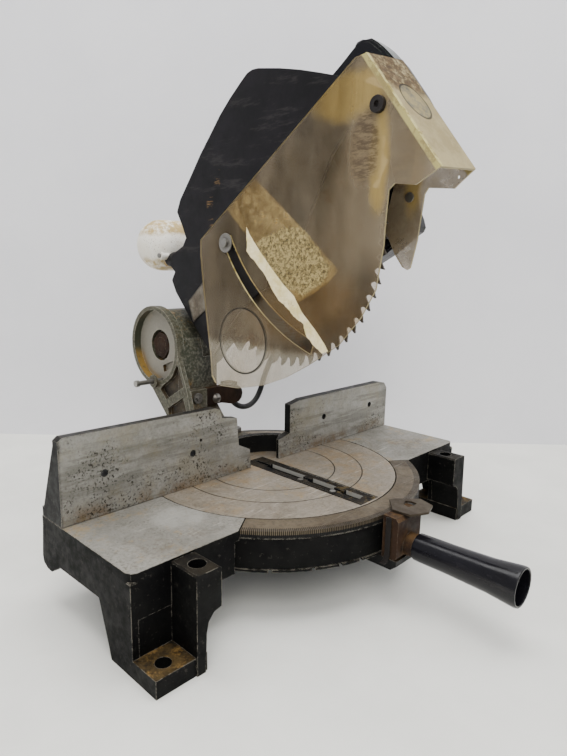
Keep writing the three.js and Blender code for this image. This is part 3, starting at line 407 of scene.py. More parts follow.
class K(G):
    """Material helper with the part source's own coordinates, in mm, as sockets."""

    def __init__(self, name):
        super().__init__(name)
        x, y, z = self.xyz()
        self.X = self.math("MULTIPLY", x, 1000.0)
        self.Y = self.math("MULTIPLY_ADD", y, 1000.0, -SY)
        self.Z = self.math("MULTIPLY", z, 1000.0)
        self.NX, self.NY, self.NZ = self.xyz(self.normal())

    def win(self, v, a, b, s=1.0):
        return self.mul(self.step(v, a - s, a + s), self.step(v, b - s, b + s, 1.0, 0.0))

    def poly(self, u, v, pts, soft=1.0, rag=None):
        """1 inside a convex polygon given clockwise or anticlockwise in (u, v)."""
        area = sum(p[0] * q[1] - q[0] * p[1] for p, q in zip(pts, pts[1:] + pts[:1]))
        sgn = 1.0 if area > 0 else -1.0
        best = None
        for p, q in zip(pts, pts[1:] + pts[:1]):
            dx, dy = q[0] - p[0], q[1] - p[1]
            l = math.hypot(dx, dy)
            nx, ny = -dy / l * sgn, dx / l * sgn
            d = self.math("MULTIPLY_ADD", u, nx, self.math("MULTIPLY_ADD", v, ny, -(nx * p[0] + ny * p[1])))
            best = d if best is None else self.math("MINIMUM", best, d)
        if rag is not None:
            best = self.math("ADD", best, rag)
        return self.step(best, -soft, soft)

    def ell(self, u, v, c, r):
        """Distance from a centre in units of the ellipse's radii."""
        a = self.math("MULTIPLY_ADD", u, 1.0 / r[0], -c[0] / r[0])
        b = self.math("MULTIPLY_ADD", v, 1.0 / r[1], -c[1] / r[1])
        return self.math("SQRT", self.math("ADD", self.mul(a, a), self.mul(b, b)))

    def rag(self, scale, amp, w=0.0):
        return self.math("MULTIPLY_ADD", self.noise(scale, 6, 0.75, w=w), amp * 2, -amp)


def black_paint(g, c1="#060607", c2="#0e0e0d", chip="#9d978a", chip_amt=0.9, lo=0.50, dust="#4f4636", dust_amt=0.2, edge_r=0.0011, scale=26.0):
    """Colour, roughness and metallic sockets of worn black paint."""
    col = g.mix(g.step(g.noise(scale, 5, 0.65), 0.35, 0.65), srgb(c1), srgb(c2))
    ro = g.step(g.noise(scale * 3, 4, 0.7), 0.3, 0.7, 0.42, 0.68)
    d = g.mul(g.up(0.4, 0.95), g.step(g.noise(scale * 2.0, 7, 0.78), 0.36, 0.66), dust_amt)
    col = g.mix(d, col, srgb(dust))
    sp = g.step(g.noise(scale * 12, 3, 0.7, w=2.2), 0.60, 0.70)
    col = g.mix(g.mul(sp, 0.16), col, srgb("#6b665c"))
    e = g.mul(g.edge(edge_r), g.step(g.noise(scale * 5, 6, 0.8), lo - 0.07, lo + 0.05))
    s2 = g.step(g.noise(scale * 7, 5, 0.8, w=3.0), 0.685, 0.70)
    e = g.math("MULTIPLY", g.mx(e, g.mul(s2, 0.75)), chip_amt, clamp=True)
    col = g.mix(e, col, srgb(chip))
    ro = g.mixf(e, ro, 0.38)
    me = g.mixf(e, 0.0, 0.6)
    return col, ro, me


def bare_metal(g, c1, c2, stain, stain_amt=0.5, scale=18.0, pits=0.6, w=0.0, scr=0.25):
    """Colour and roughness sockets of worn bare metal."""
    col = g.mix(g.step(g.noise(scale, 7, 0.75, w=w), 0.33, 0.67), srgb(c1), srgb(c2))
    col = g.mix(g.mul(g.step(g.noise(scale * 20, 2, 0.6, w=w + 1), 0.42, 0.72), 0.35), col, srgb(stain))
    st = g.mul(g.step(g.noise(scale * 0.55, 8, 0.8, w=w + 2), 0.50, 0.66), stain_amt)
    col = g.mix(st, col, srgb(stain))
    p = g.mul(g.step(g.voronoi(scale * 13), 0.06, 0.20, 1.0, 0.0), g.step(g.noise(scale * 2.2, 4, 0.7, w=w + 3), 0.46, 0.60), pits)
    col = g.mix(p, col, srgb("#2b2621"))
    v = g.mapped(scale=(9, 240, 9), rot=(0, 0, 0.6))
    sc = g.mul(g.step(g.noise(1.6, 4, 0.7, vec=v), 0.62, 0.70), scr)
    col = g.mix(sc, col, srgb("#c9c4b8"))
    ro = g.step(g.noise(scale * 4, 4, 0.7), 0.3, 0.7, 0.42, 0.62)
    return col, ro


# ---- base casting: bare tops on the wings, black paint everywhere else, rust in the foot pockets
g = K("base_paint")
bc, br, bm_ = black_paint(g)
mc, mr = bare_metal(g, "#9a978f", "#838078", "#66625a", 0.35, scale=16)
spk = g.mul(g.step(g.noise(420, 3, 0.8, w=19.0), 0.50, 0.62), g.step(g.noise(12, 5, 0.75, w=20.0), 0.40, 0.58), 0.6)
mc = g.mix(spk, mc, srgb("#55503f"))
yel = g.mul(g.step(g.noise(24, 8, 0.82, w=12.0), 0.52, 0.62), 0.55)
mc = g.mix(yel, mc, srgb("#a48a5c"))
brn = g.mul(g.step(g.noise(9, 8, 0.8, w=13.0), 0.52, 0.64), 0.5)
mc = g.mix(brn, mc, srgb("#5f4f38"))
scuff = g.step(g.noise(1.3, 5, 0.75, vec=g.mapped(scale=(14, 160, 14), rot=(0, 0, -0.5))), 0.60, 0.68)
mc = g.mix(g.mul(scuff, 0.4), mc, srgb("#c6c3b8"))
patch = g.step(g.math("ADD", g.ell(g.X, g.Y, (-150, -48), (30, 26)), g.rag(30, 0.6, 18.0)), 0.6, 1.1, 1.0, 0.0)
mc = g.mix(g.mul(patch, 0.4), mc, srgb("#b3b1aa"))
top = g.mul(g.step(g.NZ, 0.85, 0.97), g.step(g.Z, 83.2, 83.7))
top = g.math("SUBTRACT", top, g.mul(g.edge(0.0016), 0.5), clamp=True)
rust = g.mul(g.step(g.Z, 8, 24, 1.0, 0.0), g.step(g.NZ, 0.2, 0.8), g.step(g.noise(34, 7, 0.8), 0.36, 0.6))
pock = g.mul(rust, 0.85)
col = g.mix(pock, bc, srgb("#64502f"))
col = g.mix(g.mul(pock, g.step(g.noise(70, 5, 0.8, w=4.0), 0.50, 0.62), 0.9), col, srgb("#a88145"))
col = g.mix(g.mul(pock, g.step(g.noise(110, 5, 0.8, w=8.0), 0.54, 0.62), 0.8), col, srgb("#17120c"))
col = g.mix(top, col, mc)
nb = g.bump(g.noise(420, 3, 0.6), 0.22, 0.0004)
M_BASE = g.done(col, g.mixf(top, g.mixf(pock, br, 0.85), mr), g.mixf(top, bm_, 0.45), nb, Specular_IOR_Level=0.08)

# ---- scale ring: tarnished top with fine teeth round the edge, black below
g = K("ring_metal")
mc, mr = bare_metal(g, "#716654", "#594e3f", "#33291d", 0.7, scale=20)
bc, br, bm_ = black_paint(g, dust_amt=0.2)
yy = g.math("ADD", g.Y, 11.0)
ang = g.math("MULTIPLY", g.math("ARCTAN2", g.X, yy), 180.0 / math.pi)
fr = g.math("FRACT", g.math("MULTIPLY", ang, 1.0 / 0.6))
rad = g.math("SQRT", g.math("ADD", g.mul(g.X, g.X), g.mul(yy, yy)))
groove = g.mul(g.step(fr, 0.30, 0.42), g.step(fr, 0.78, 0.90, 1.0, 0.0))
rim = g.step(rad, 154.7, 155.2)
low = g.step(g.Z, 80.2, 81.0, 1.0, 0.0)
col = g.mix(g.mul(groove, rim, 0.92), mc, srgb("#0d0b08"))
col = g.mix(low, col, bc)
h = g.math("SUBTRACT", g.mul(g.noise(300, 3, 0.6), 0.2), g.mul(groove, rim))
M_RING = g.done(col, g.mixf(low, mr, br), g.mixf(low, 0.45, 0.0), g.bump(h, 0.7, 0.0008), Specular_IOR_Level=0.2)

# ---- fence: pitted faces, black elsewhere, worn edges
g = K("fence_metal")
mc, mr = bare_metal(g, "#9e9c95", "#88867f", "#6a665c", 0.4, scale=22, pits=0.7, w=2.0, scr=0.1)
streak = g.noise(1.0, 4, 0.7, vec=g.mapped(scale=(10, 60, 130)))
mc = g.mix(g.mul(g.step(streak, 0.46, 0.60), 0.5), mc, srgb("#5d5a52"))
bot = g.mul(g.step(g.Z, 86, 104, 1.0, 0.0), g.step(g.noise(40, 6, 0.8, w=1.0), 0.44, 0.60), 0.7)
mc = g.mix(bot, mc, srgb("#6d5536"))
warm = g.mul(g.step(g.noise(13, 6, 0.8, w=14.0), 0.48, 0.62), 0.45)
mc = g.mix(g.mul(warm, 0.7), mc, srgb("#85795a"))
where = g.mx(g.step(g.Z, 84, 120, 1.0, 0.0), g.mul(g.step(g.X, -235, -60, 1.0, 0.0), 0.95), g.mul(g.step(g.X, 150, 235), 0.7))
clus = g.step(g.math("MULTIPLY_ADD", where, 0.07, g.noise(16, 5, 0.75, w=15.0)), 0.53, 0.63)
pit2 = g.mul(g.step(g.noise(420, 3, 0.75, w=16.0), 0.53, 0.59), clus, 0.85)
mc = g.mix(pit2, mc, srgb("#1c1812"))
bc, br, bm_ = black_paint(g, chip_amt=1.0, lo=0.44)
face = g.mul(g.step(g.NY, -0.97, -0.9, 1.0, 0.0), g.step(g.Y, 0.5, 1.0, 1.0, 0.0))
ragx = g.rag(60, 5.0, 3.0)
leftend = g.step(g.math("ADD", g.X, ragx), -238.0, -233.0)
face = g.mul(face, leftend)
chipf = g.mul(g.step(g.noise(26, 7, 0.8, w=6.0), 0.66, 0.70), g.step(g.Z, 128, 140), 0.5)
face2 = g.math("SUBTRACT", face, g.mul(chipf, face), clamp=True)
col = g.mix(face2, bc, mc)
M_FENCE = g.done(col, g.mixf(face2, br, mr), g.mixf(face2, bm_, 0.5), g.bump(g.noise(380, 3, 0.6), 0.25, 0.0004), Specular_IOR_Level=0.2)

# ---- turntable: stained bare top with cut circles, black underneath and on the arm
g = K("table_metal")
mc, mr = bare_metal(g, "#a0978a", "#8a8173", "#6a5c48", 0.6, scale=15, pits=0.5, w=5.0)
yy = g.math("ADD", g.Y, 11.0)
rad = g.math("SQRT", g.math("ADD", g.mul(g.X, g.X), g.mul(yy, yy)))
ringline = g.mx(g.win(rad, 69.6, 70.9, 0.25), g.win(rad, 99.6, 100.9, 0.25))
turned = g.noise(1.0, 3, 0.6, vec=None)
cmb = g.node("ShaderNodeCombineXYZ")
g.put(cmb.inputs[0], g.math("MULTIPLY", rad, 1.6))
lathe_n = g.noise(1.0, 3, 0.7, vec=cmb.outputs[0])
mc = g.mix(g.mul(g.step(lathe_n, 0.42, 0.62), 0.22), mc, srgb("#6f6856"))
oil = g.mul(g.step(g.noise(7, 8, 0.8, w=9.0), 0.50, 0.62), g.step(rad, 60, 150), 0.55)
mc = g.mix(oil, mc, srgb("#54493a"))
wrm = g.mul(g.step(g.noise(16, 7, 0.8, w=30.0), 0.50, 0.62), 0.5)
mc = g.mix(wrm, mc, srgb("#9b7f55"))
scf = g.step(g.noise(1.3, 5, 0.75, vec=g.mapped(scale=(14, 150, 14), rot=(0, 0, -0.6))), 0.58, 0.66)
mc = g.mix(g.mul(scf, 0.35), mc, srgb("#c9c3b6"))
near = g.ell(g.X, g.Y, (0, -70), (70, 60))
yel = g.mul(g.step(near, 0.5, 1.2, 1.0, 0.0), g.step(g.noise(60, 6, 0.8, w=7.0), 0.56, 0.64), 0.7)
mc = g.mix(yel, mc, srgb("#b59a5e"))
tspk = g.mul(g.step(g.noise(420, 3, 0.8, w=19.0), 0.52, 0.64), g.step(g.noise(12, 5, 0.75, w=20.0), 0.42, 0.58), 0.55)
mc = g.mix(tspk, mc, srgb("#5a4d36"))
mc = g.mix(g.mul(ringline, 0.95), mc, srgb("#2a241a"))
bc, br, bm_ = black_paint(g, chip_amt=0.7, dust="#4d3b25", dust_amt=0.4)
top = g.mul(g.step(g.NZ, 0.85, 0.97), g.step(g.Z, 83.0, 83.6))
col = g.mix(top, bc, mc)
h = g.math("SUBTRACT", g.mul(g.noise(320, 3, 0.6), 0.3), ringline)
M_TABLE = g.done(col, g.mixf(top, br, mr), g.mixf(top, bm_, 0.45), g.bump(h, 0.4, 0.0005), Specular_IOR_Level=0.2)

# ---- kerf plate: worn black, grey inner walls, yellow dust near the front
g = K("kerf_black")
bc, br, bm_ = black_paint(g, c1="#0d0e10", c2="#17181b", chip="#8f8c84", chip_amt=0.8, lo=0.48, dust="#574c38", dust_amt=0.28, edge_r=0.0008)
wallm = g.mul(g.step(g.NX, -0.9, -0.6, 1.0, 0.0), g.step(g.X, 2, 4))
col = g.mix(g.mul(wallm, 0.85), bc, srgb("#a8a59d"))
dust = g.mul(g.step(g.Y, -150, -60, 1.0, 0.0), g.step(g.noise(75, 6, 0.8, w=2.0), 0.54, 0.62), 0.5)
col = g.mix(dust, col, srgb("#8f7848"))
M_KERF = g.done(col, br, bm_, g.bump(g.noise(380, 3, 0.6), 0.2, 0.0004), Specular_IOR_Level=0.05)

# ---- pivot arm: lighter purplish-grey front faces, painted shade on the drum side and the recess wall, painted shade in the pockets mottled brown, ochre in the recess
g = K("arm_paint")
col = g.mix(g.step(g.noise(22, 5, 0.7), 0.35, 0.65), srgb("#4a483a"), srgb("#3e3c30"))
py = g.math("ADD", g.Y, -168.8)
pz = g.math("ADD", g.Z, -200.9)
prad = g.math("SQRT", g.math("ADD", g.mul(py, py), g.mul(pz, pz)))
# painted shade: the drum's curved side darkened to grey-green, darkest towards the case, for the case's shadow
drum_side_shade = g.mul(g.step(g.NX, -0.75, -0.5), g.step(g.X, -27, -22), g.step(g.Z, 150, 160))
col = g.mix(g.mul(drum_side_shade, 0.9), col, g.mix(g.step(g.X, -24, 30), srgb("#383b2e"), srgb("#2c2b27")))
front = g.mul(g.step(g.NY, -0.8, -0.5, 1.0, 0.0), g.step(g.Z, 100, 160, 1.0, 0.0))
col = g.mix(g.mul(front, g.step(g.X, -16, 24), 0.6), col, srgb("#6f6663"))
col = g.mix(g.mul(g.step(g.noise(300, 3, 0.7), 0.42, 0.7), 0.3), col, srgb("#a19c88"))
pocket = g.ao(0.022, 0.45, 0.95)
# painted shade: dark brown laid into the pockets through an ambient-occlusion mask, broken up by noise
pocket_shade = g.mul(pocket, g.step(g.noise(36, 6, 0.8), 0.34, 0.58), g.step(g.Z, 170, 200, 1.0, 0.25))
col = g.mix(pocket_shade, col, srgb("#3f3322"))
ochre = g.mul(g.ao(0.035, 0.55, 1.0), g.step(g.noise(48, 6, 0.8, w=3.0), 0.52, 0.62), 0.6)
col = g.mix(ochre, col, srgb("#96723a"))
hole = g.mul(g.step(g.X, -29.4, -28.6), g.step(g.X, -20, -18, 1.0, 0.0), g.step(g.NX, -0.8, -0.4, 1.0, 0.0), g.step(g.Y, 158, 164, 1.0, 0.0), g.step(g.Z, 186, 192, 1.0, 0.0))
col = g.mix(g.mul(hole, 0.92), col, g.mix(g.step(g.noise(60, 6, 0.8, w=5.0), 0.42, 0.60), srgb("#3a2d1b"), srgb("#18120b")))
floorm = g.mul(g.step(g.X, -20.9, -20.3), g.step(prad, 44.5, 45.5, 1.0, 0.0), g.step(g.NX, -0.95, -0.8, 1.0, 0.0))
col = g.mix(g.mul(floorm, 0.75), col, srgb("#969186"))
wallr = g.mul(g.step(prad, 43.2, 44.0), g.step(prad, 45.2, 46.0, 1.0, 0.0), g.step(g.X, -29.6, -28.8), g.step(g.X, -19.8, -19.2, 1.0, 0.0), g.step(g.NX, -0.6, -0.3))
lowl = g.mul(g.step(pz, -18, -4, 1.0, 0.0), g.step(py, -6, 4))
# painted shade: the recess's inner wall darkened to grey-green for the rim's shadow
col = g.mix(g.mul(wallr, 0.85), col, srgb("#3b3d30"))
col = g.mix(g.mul(g.mx(wallr, g.mul(floorm, g.step(prad, 36, 43), 0.7)), lowl, g.step(g.noise(60, 6, 0.8, w=6.0), 0.34, 0.5), 0.9), col, srgb("#8d6f33"))
e = g.mul(g.edge(0.0014), g.step(g.noise(110, 5, 0.8), 0.38, 0.55), 0.85)
col = g.mix(e, col, srgb("#b5b1a2"))
M_ARM = g.done(col, g.step(g.noise(90, 4, 0.7), 0.3, 0.7, 0.42, 0.62), 0.15, g.bump(g.noise(380, 3, 0.6), 0.25, 0.0005), Specular_IOR_Level=0.3)

M_RUST = painted("rust_brown", "#37271d", "#211712", (0.5, 0.78), metal=0.15, chip="#8d8272", dust="#6e5332", dust_amt=0.6, scale=34, chip_amt=0.6)
M_STEEL = metal_worn("steel", "#a3a19b", "#7d7a74", stain="#5c4a3a", rough=(0.28, 0.45), metal=0.85)
M_DARK = metal_worn("dark_steel", "#2b2623", "#191615", stain="#4a3020", rough=(0.35, 0.6), metal=0.4)
M_POINTER = metal_worn("pointer_metal", "#4f473b", "#3b332b", stain="#33281d", rough=(0.4, 0.6), metal=0.4, pits=0.6)
M_POINTER.node_tree.nodes["Principled BSDF"].inputs["Specular IOR Level"].default_value = 0.05
M_RUST.node_tree.nodes["Principled BSDF"].inputs["Specular IOR Level"].default_value = 0.15


def housing(name, c1, c2, green_lo, rough=(0.34, 0.55), scuff=0.25, spec=0.16):
    """Moulded black plastic: soft grey scuffs, ochre rub marks, dark green on the upward faces near the top as
    painted light, painted shade in corners.
    """
    g = K(name)
    col = g.mix(g.step(g.noise(16, 5, 0.7), 0.35, 0.65), srgb(c1), srgb(c2))
    sc = g.noise(1.0, 5, 0.75, vec=g.mapped(scale=(20, 16, 90), rot=(0.7, 0, 0)))
    col = g.mix(g.mul(g.step(sc, 0.55, 0.68), scuff), col, srgb("#4b4846"))
    # painted light: dark green on the upward faces near the top stands for light falling on the dark finish
    gr = g.mul(g.step(g.NZ, 0.30, 0.62), g.step(g.Z, green_lo, green_lo + 12))
    col = g.mix(g.mul(gr, 0.85), col, srgb("#1b2d24"))
    rub = g.mul(g.step(g.noise(30, 7, 0.82, w=4.0), 0.655, 0.69), g.step(g.Z, 200, 380), 0.8)
    col = g.mix(rub, col, srgb("#8c7740"))
    if name == "housing_black":
        left = g.step(g.NX, -0.9, -0.6, 1.0, 0.0)
        for quad, w_ in (([(64, 386), (73, 386), (73, 407), (64, 407)], 21.0), ([(76, 339), (86, 339), (86, 382), (76, 382)], 22.0)):
            zone = g.poly(g.Y, g.Z, quad, 2.0)
            scr = g.noise(1.4, 4, 0.75, vec=g.mapped(scale=(12, 14, 150), rot=(0.9, 0, 0)), w=w_)
            col = g.mix(g.mul(zone, left, g.step(scr, 0.55, 0.60), 0.7), col, srgb("#7a5f3c"))
    # painted shade: dark brown-black laid into corners and creases through an ambient-occlusion mask
    col = g.mix(g.mul(g.ao(0.006), 0.5), col, srgb("#161310"))
    e = g.mul(g.edge(0.0012), g.step(g.noise(120, 5, 0.8), 0.46, 0.60), 0.35)
    col = g.mix(e, col, srgb("#77736c"))
    ro = g.step(g.noise(60, 4, 0.7), 0.3, 0.7, rough[0], rough[1])
    return g.done(col, ro, 0.0, g.bump(g.noise(520, 3, 0.6), 0.16, 0.0003), Specular_IOR_Level=spec)


M_HOUSE = housing("housing_black", "#121113", "#1a181b", 440)
M_HANDLE = housing("handle_black", "#0d0c10", "#131217", 470, (0.14, 0.28), 0.08, 0.26)

# ---- dust outlet
g = K("spout_offwhite")
col = g.mix(g.step(g.noise(20, 5, 0.7), 0.35, 0.65), srgb("#f6f2e9"), srgb("#ebe4d4"))
up = g.mul(g.step(g.math("ADD", g.Z, g.rag(40, 9, 2.0)), 334, 342), g.step(g.noise(55, 6, 0.8), 0.36, 0.55), 0.9)
dn = g.mul(g.step(g.math("ADD", g.Z, g.rag(40, 8, 5.0)), 303, 312, 1.0, 0.0), g.step(g.noise(48, 6, 0.8, w=2.0), 0.38, 0.55), 0.9)
col = g.mix(g.mx(up, dn), col, srgb("#a98a35"))
dots = g.mul(g.step(g.voronoi(420), 0.12, 0.26, 1.0, 0.0), g.step(g.noise(26, 5, 0.7, w=7.0), 0.46, 0.56), 0.9)
col = g.mix(dots, col, srgb("#7a5a26"))
M_SPOUT = g.done(col, g.step(g.noise(80, 4, 0.7), 0.3, 0.7, 0.35, 0.55), 0.0, g.bump(g.noise(260, 3, 0.6), 0.12, 0.0004))

M_RUBBER = painted("rubber_black", "#0e0e0e", "#161515", (0.42, 0.6), dust="#4b4236", dust_amt=0.15, scale=60)
M_TRIGGER = painted("trigger_black", "#141416", "#1d1d20", (0.35, 0.55), dust="#4b4236", dust_amt=0.15, scale=50)

# ---- the blank plate on the case, cross-hatched by wear
g = K("plate_metal")
d1 = g.math("FRACT", g.math("MULTIPLY_ADD", g.Y, 0.62, g.math("MULTIPLY", g.Z, 0.35)))
hat = g.mul(g.step(d1, 0.35, 0.5), g.step(g.noise(70, 5, 0.8), 0.35, 0.6))
col = g.mix(g.step(g.noise(50, 5, 0.8), 0.35, 0.65), srgb("#8a8274"), srgb("#5c5142"))
col = g.mix(g.mul(hat, 0.7), col, srgb("#33291d"))
col = g.mix(g.step(g.math("ADD", g.edge(0.004, 0.01, 0.12), 0.0), 0.3, 0.6), col, srgb("#1a1512"))
M_PLATE = g.done(col, 0.5, 0.4, g.bump(hat, 0.15, 0.0003))
M_LAM = metal_worn("laminations", "#6d5a48", "#56463a", rough=(0.5, 0.7), metal=0.5)

# ---- blade: resin-browned plate and bright tips
g = K("blade_steel")
yy = g.math("ADD", g.Y, 22.9)
zz = g.math("ADD", g.Z, -326.2)
rad = g.math("SQRT", g.math("ADD", g.mul(yy, yy), g.mul(zz, zz)))
cmb = g.node("ShaderNodeCombineXYZ")
g.put(cmb.inputs[0], g.math("MULTIPLY", rad, 1.1))
gr = g.noise(1.0, 3, 0.7, vec=cmb.outputs[0])
col = g.mix(g.step(gr, 0.35, 0.65), srgb("#857b6d"), srgb("#6b6356"))
res = g.mul(g.step(g.math("ADD", rad, g.rag(30, 12, 1.0)), 88, 112), 0.85)
col = g.mix(res, col, srgb("#2c2219"))
col = g.mix(g.mul(g.step(g.noise(24, 7, 0.8, w=3.0), 0.50, 0.64), 0.55), col, srgb("#6b4d2c"))
M_BLADE = g.done(col, g.step(g.noise(60, 4, 0.7), 0.3, 0.7, 0.32, 0.5), 0.65, g.bump(gr, 0.08, 0.0002))
M_CARBIDE = metal_worn("carbide", "#4b4640", "#37322d", stain="#2a2119", rough=(0.3, 0.45), scale=90, metal=0.8)

groups = {
    "base_paint": M_BASE, "worn_aluminium": M_TABLE, "ring_metal": M_RING, "fence_metal": M_FENCE, "arm_paint": M_ARM,
    "kerf_black": M_KERF, "rusty_iron": M_RUST, "steel": M_STEEL, "dark_steel": M_DARK, "pointer_metal": M_POINTER,
    "housing_plastic": M_HOUSE, "handle_plastic": M_HANDLE, "blade_steel": M_BLADE, "spout_plastic": M_SPOUT,
    "rubber_black": M_RUBBER, "plate_metal": M_PLATE, "laminations": M_LAM, "trigger_plastic": M_TRIGGER,
}
for row in frame["record"]["subparts"]:
    if row["material_slot"] in groups:
        give(groups[row["material_slot"]], row["node"])

# ---- clear guard: hazed sheet, film and paper residue, amber stains
g = K("clear_guard")
side = g.step(g.NX, -0.9, -0.6, 1.0, 0.0)
front = g.mul(g.step(g.NY, -0.7, -0.5, 1.0, 0.0), g.step(g.NZ, 0.3, 0.5))
back = g.mul(g.step(g.NY, 0.5, 0.7), g.step(g.NZ, -0.5, -0.3, 1.0, 0.0))
haze = g.step(g.noise(14, 7, 0.75), 0.30, 0.72, 0.08, 0.20)
band = g.noise(1.0, 5, 0.7, vec=g.mapped(scale=(8, 34, 5), rot=(-0.72, 0, 0)))
haze = g.math("ADD", haze, g.step(band, 0.42, 0.62, 0.0, 0.10))
haze = g.math("ADD", haze, g.mul(g.step(g.Y, -132, -104, 1.0, 0.0), g.step(g.Z, 290, 330), 0.28))
hcol = g.mix(g.step(g.noise(9, 6, 0.7, w=2.0), 0.35, 0.65), srgb("#9b8e79"), srgb("#85765f"))
tint = g.mix(g.step(g.noise(8, 6, 0.7, w=3.0), 0.4, 0.7), (0.95, 0.93, 0.89), (0.90, 0.83, 0.72))
# amber stains near the pivot and down the front edge
am1 = g.step(g.math("ADD", g.ell(g.Y, g.Z, (-112, 446), (46, 22)), g.rag(26, 0.45, 4.0)), 0.65, 1.15, 1.0, 0.0)
am2 = g.step(g.math("ADD", g.ell(g.Y, g.Z, (-147, 392), (11, 45)), g.rag(30, 0.5, 5.0)), 0.6, 1.2, 1.0, 0.0)
am3 = g.step(g.math("ADD", g.ell(g.Y, g.Z, (-70, 262), (75, 40)), g.rag(22, 0.5, 6.0)), 0.5, 1.2, 1.0, 0.0)
hcol = g.mix(g.mul(g.mx(am1, am2), 0.8), hcol, srgb("#b39a5c"))
hcol = g.mix(g.mul(am3, 0.5), hcol, srgb("#7a5d38"))
haze = g.math("ADD", haze, g.mul(g.mx(am1, am2), 0.13))
tint = g.mix(g.mul(g.mx(am1, am2, g.mul(am3, 0.7)), 0.7), tint, (0.86, 0.74, 0.52))
# old film below the middle
film = g.mul(side, g.poly(g.Y, g.Z, [(46, 360), (3, 388), (-77, 327), (-108, 300), (-96, 287), (-60, 268)], 0.8, g.rag(60, 2.0, 1.0)))
filmn = g.step(g.noise(46, 7, 0.82, w=6.0), 0.42, 0.60)
haze = g.math("ADD", haze, g.mul(film, g.mixf(filmn, 0.12, 0.30)))
hcol = g.mix(g.mul(film, 0.8), hcol, g.mix(filmn, srgb("#8d7444"), srgb("#b59c66")))
resid = g.mul(side, g.poly(g.Y, g.Z, [(2, 326), (-34, 337), (-57, 341), (-78, 324), (-98, 303), (-92, 287), (-66, 274), (-40, 284), (-18, 304)], 1.5, g.rag(48, 10.0, 2.0)))
spk = g.step(g.noise(330, 4, 0.85, w=1.0), 0.42, 0.56)
haze = g.math("ADD", haze, g.mul(resid, g.mixf(spk, 0.28, 0.66)))
hcol = g.mix(g.mul(resid, 0.9), hcol, g.mix(spk, srgb("#4c4027"), srgb("#ac9b6b")))
# blank oval film with a dark outline
el = g.ell(g.Y, g.Z, (20.5, 221.7), (37.6, 36.2))
ov = g.mul(side, g.win(el, 0.952, 1.0, 0.008))
ovin = g.mul(side, g.step(el, 0.97, 1.0, 1.0, 0.0))
haze = g.math("ADD", haze, g.mul(ovin, 0.07))
# scratches
for rot, w_, lo_ in ((0.9, 1.0, 0.655), (-0.55, 2.0, 0.67), (0.2, 3.0, 0.68)):
    sc = g.noise(1.5, 4, 0.7, vec=g.mapped(scale=(8, 9, 260), rot=(rot, 0, 0)), w=w_)
    haze = g.math("ADD", haze, g.mul(g.step(sc, lo_, lo_ + 0.03), 0.10))
spots = g.mul(g.step(g.voronoi(150), 0.05, 0.12, 1.0, 0.0), g.step(g.noise(20, 5, 0.7, w=8.0), 0.5, 0.62), 0.5)
haze = g.math("ADD", haze, spots)
hcol = g.mix(spots, hcol, srgb("#5b4325"))
# the front of the guard: more worn, scraped rust-brown near the top, blank oval
haze = g.math("ADD", haze, g.mul(g.mx(front, back), 0.58))
hcol = g.mix(g.mul(front, 0.85), hcol, g.mix(g.step(g.noise(30, 6, 0.8, w=11.0), 0.40, 0.60), srgb("#948761"), srgb("#a99c74")))
tint = g.mix(g.mul(g.mx(front, back), 0.6), tint, (0.93, 0.89, 0.76))
fu = g.math("MULTIPLY_ADD", g.Z, 0.786, g.math("MULTIPLY", g.Y, 0.619))      # up the front panel, mm
scrape = g.mul(front, g.step(g.math("ADD", fu, g.rag(40, 8.0, 1.0)), 250, 262), g.step(g.noise(120, 5, 0.8, w=5.0), 0.34, 0.52))
haze = g.math("ADD", haze, g.mul(scrape, 0.5))
hcol = g.mix(g.mul(scrape, 0.9), hcol, g.mix(g.step(g.noise(210, 4, 0.8, w=23.0), 0.42, 0.56), srgb("#5d482e"), srgb("#342114")))
elf = g.ell(g.X, fu, (13.0, 246), (17, 20))
ovf = g.mul(front, g.win(elf, 0.90, 1.0, 0.02))
ovfi = g.mul(front, g.step(elf, 0.93, 0.95, 1.0, 0.0))
haze = g.math("ADD", haze, g.mul(ovfi, 0.25))
hcol = g.mix(g.mul(ovfi, 0.8), hcol, g.mix(g.step(g.noise(80, 5, 0.8, w=24.0), 0.42, 0.56), srgb("#5f5d55"), srgb("#8d815c")))
fleck = g.mul(front, g.step(g.noise(170, 4, 0.8, w=9.0), 0.63, 0.67), 0.8)
haze = g.math("ADD", haze, g.mul(fleck, 0.4))
hcol = g.mix(fleck, hcol, srgb("#8f7646"))
# brown dirt between the pivot screw and the front of the blade
dirt = g.mul(side, g.step(g.math("ADD", g.ell(g.Y, g.Z, (-132, 402), (17, 34)), g.rag(40, 0.45, 25.0)), 0.7, 1.2, 1.0, 0.0))
dn_ = g.step(g.noise(1.6, 5, 0.8, vec=g.mapped(scale=(20, 40, 160), rot=(0.55, 0, 0)), w=26.0), 0.38, 0.58)
haze = g.math("ADD", haze, g.mul(dirt, g.mixf(dn_, 0.34, 0.58)))
hcol = g.mix(g.mul(dirt, 0.85), hcol, g.mix(dn_, srgb("#7e6e54"), srgb("#45382a")))
# yellow band where the side and the front are joined
rim_ = g.mul(side, g.step(g.math("ADD", fu, 0.0), 120, 130), g.step(g.math("MULTIPLY_ADD", g.Y, -0.786, g.math("MULTIPLY", g.Z, 0.619)), 391.8, 393.4))
haze = g.math("ADD", haze, g.mul(rim_, 0.6))
hcol = g.mix(g.mul(rim_, 0.9), hcol, g.mix(g.step(g.noise(50, 5, 0.8, w=28.0), 0.45, 0.55), srgb("#b9ad70"), srgb("#97885a")))
fedge = g.mul(front, g.step(g.X, -13.5, -11.0, 1.0, 0.0))
haze = g.math("ADD", haze, g.mul(fedge, 0.4))
hcol = g.mix(g.mul(fedge, 0.8), hcol, g.mix(g.step(g.noise(90, 5, 0.8, w=27.0), 0.45, 0.6), srgb("#c6bb83"), srgb("#8a7a3c")))
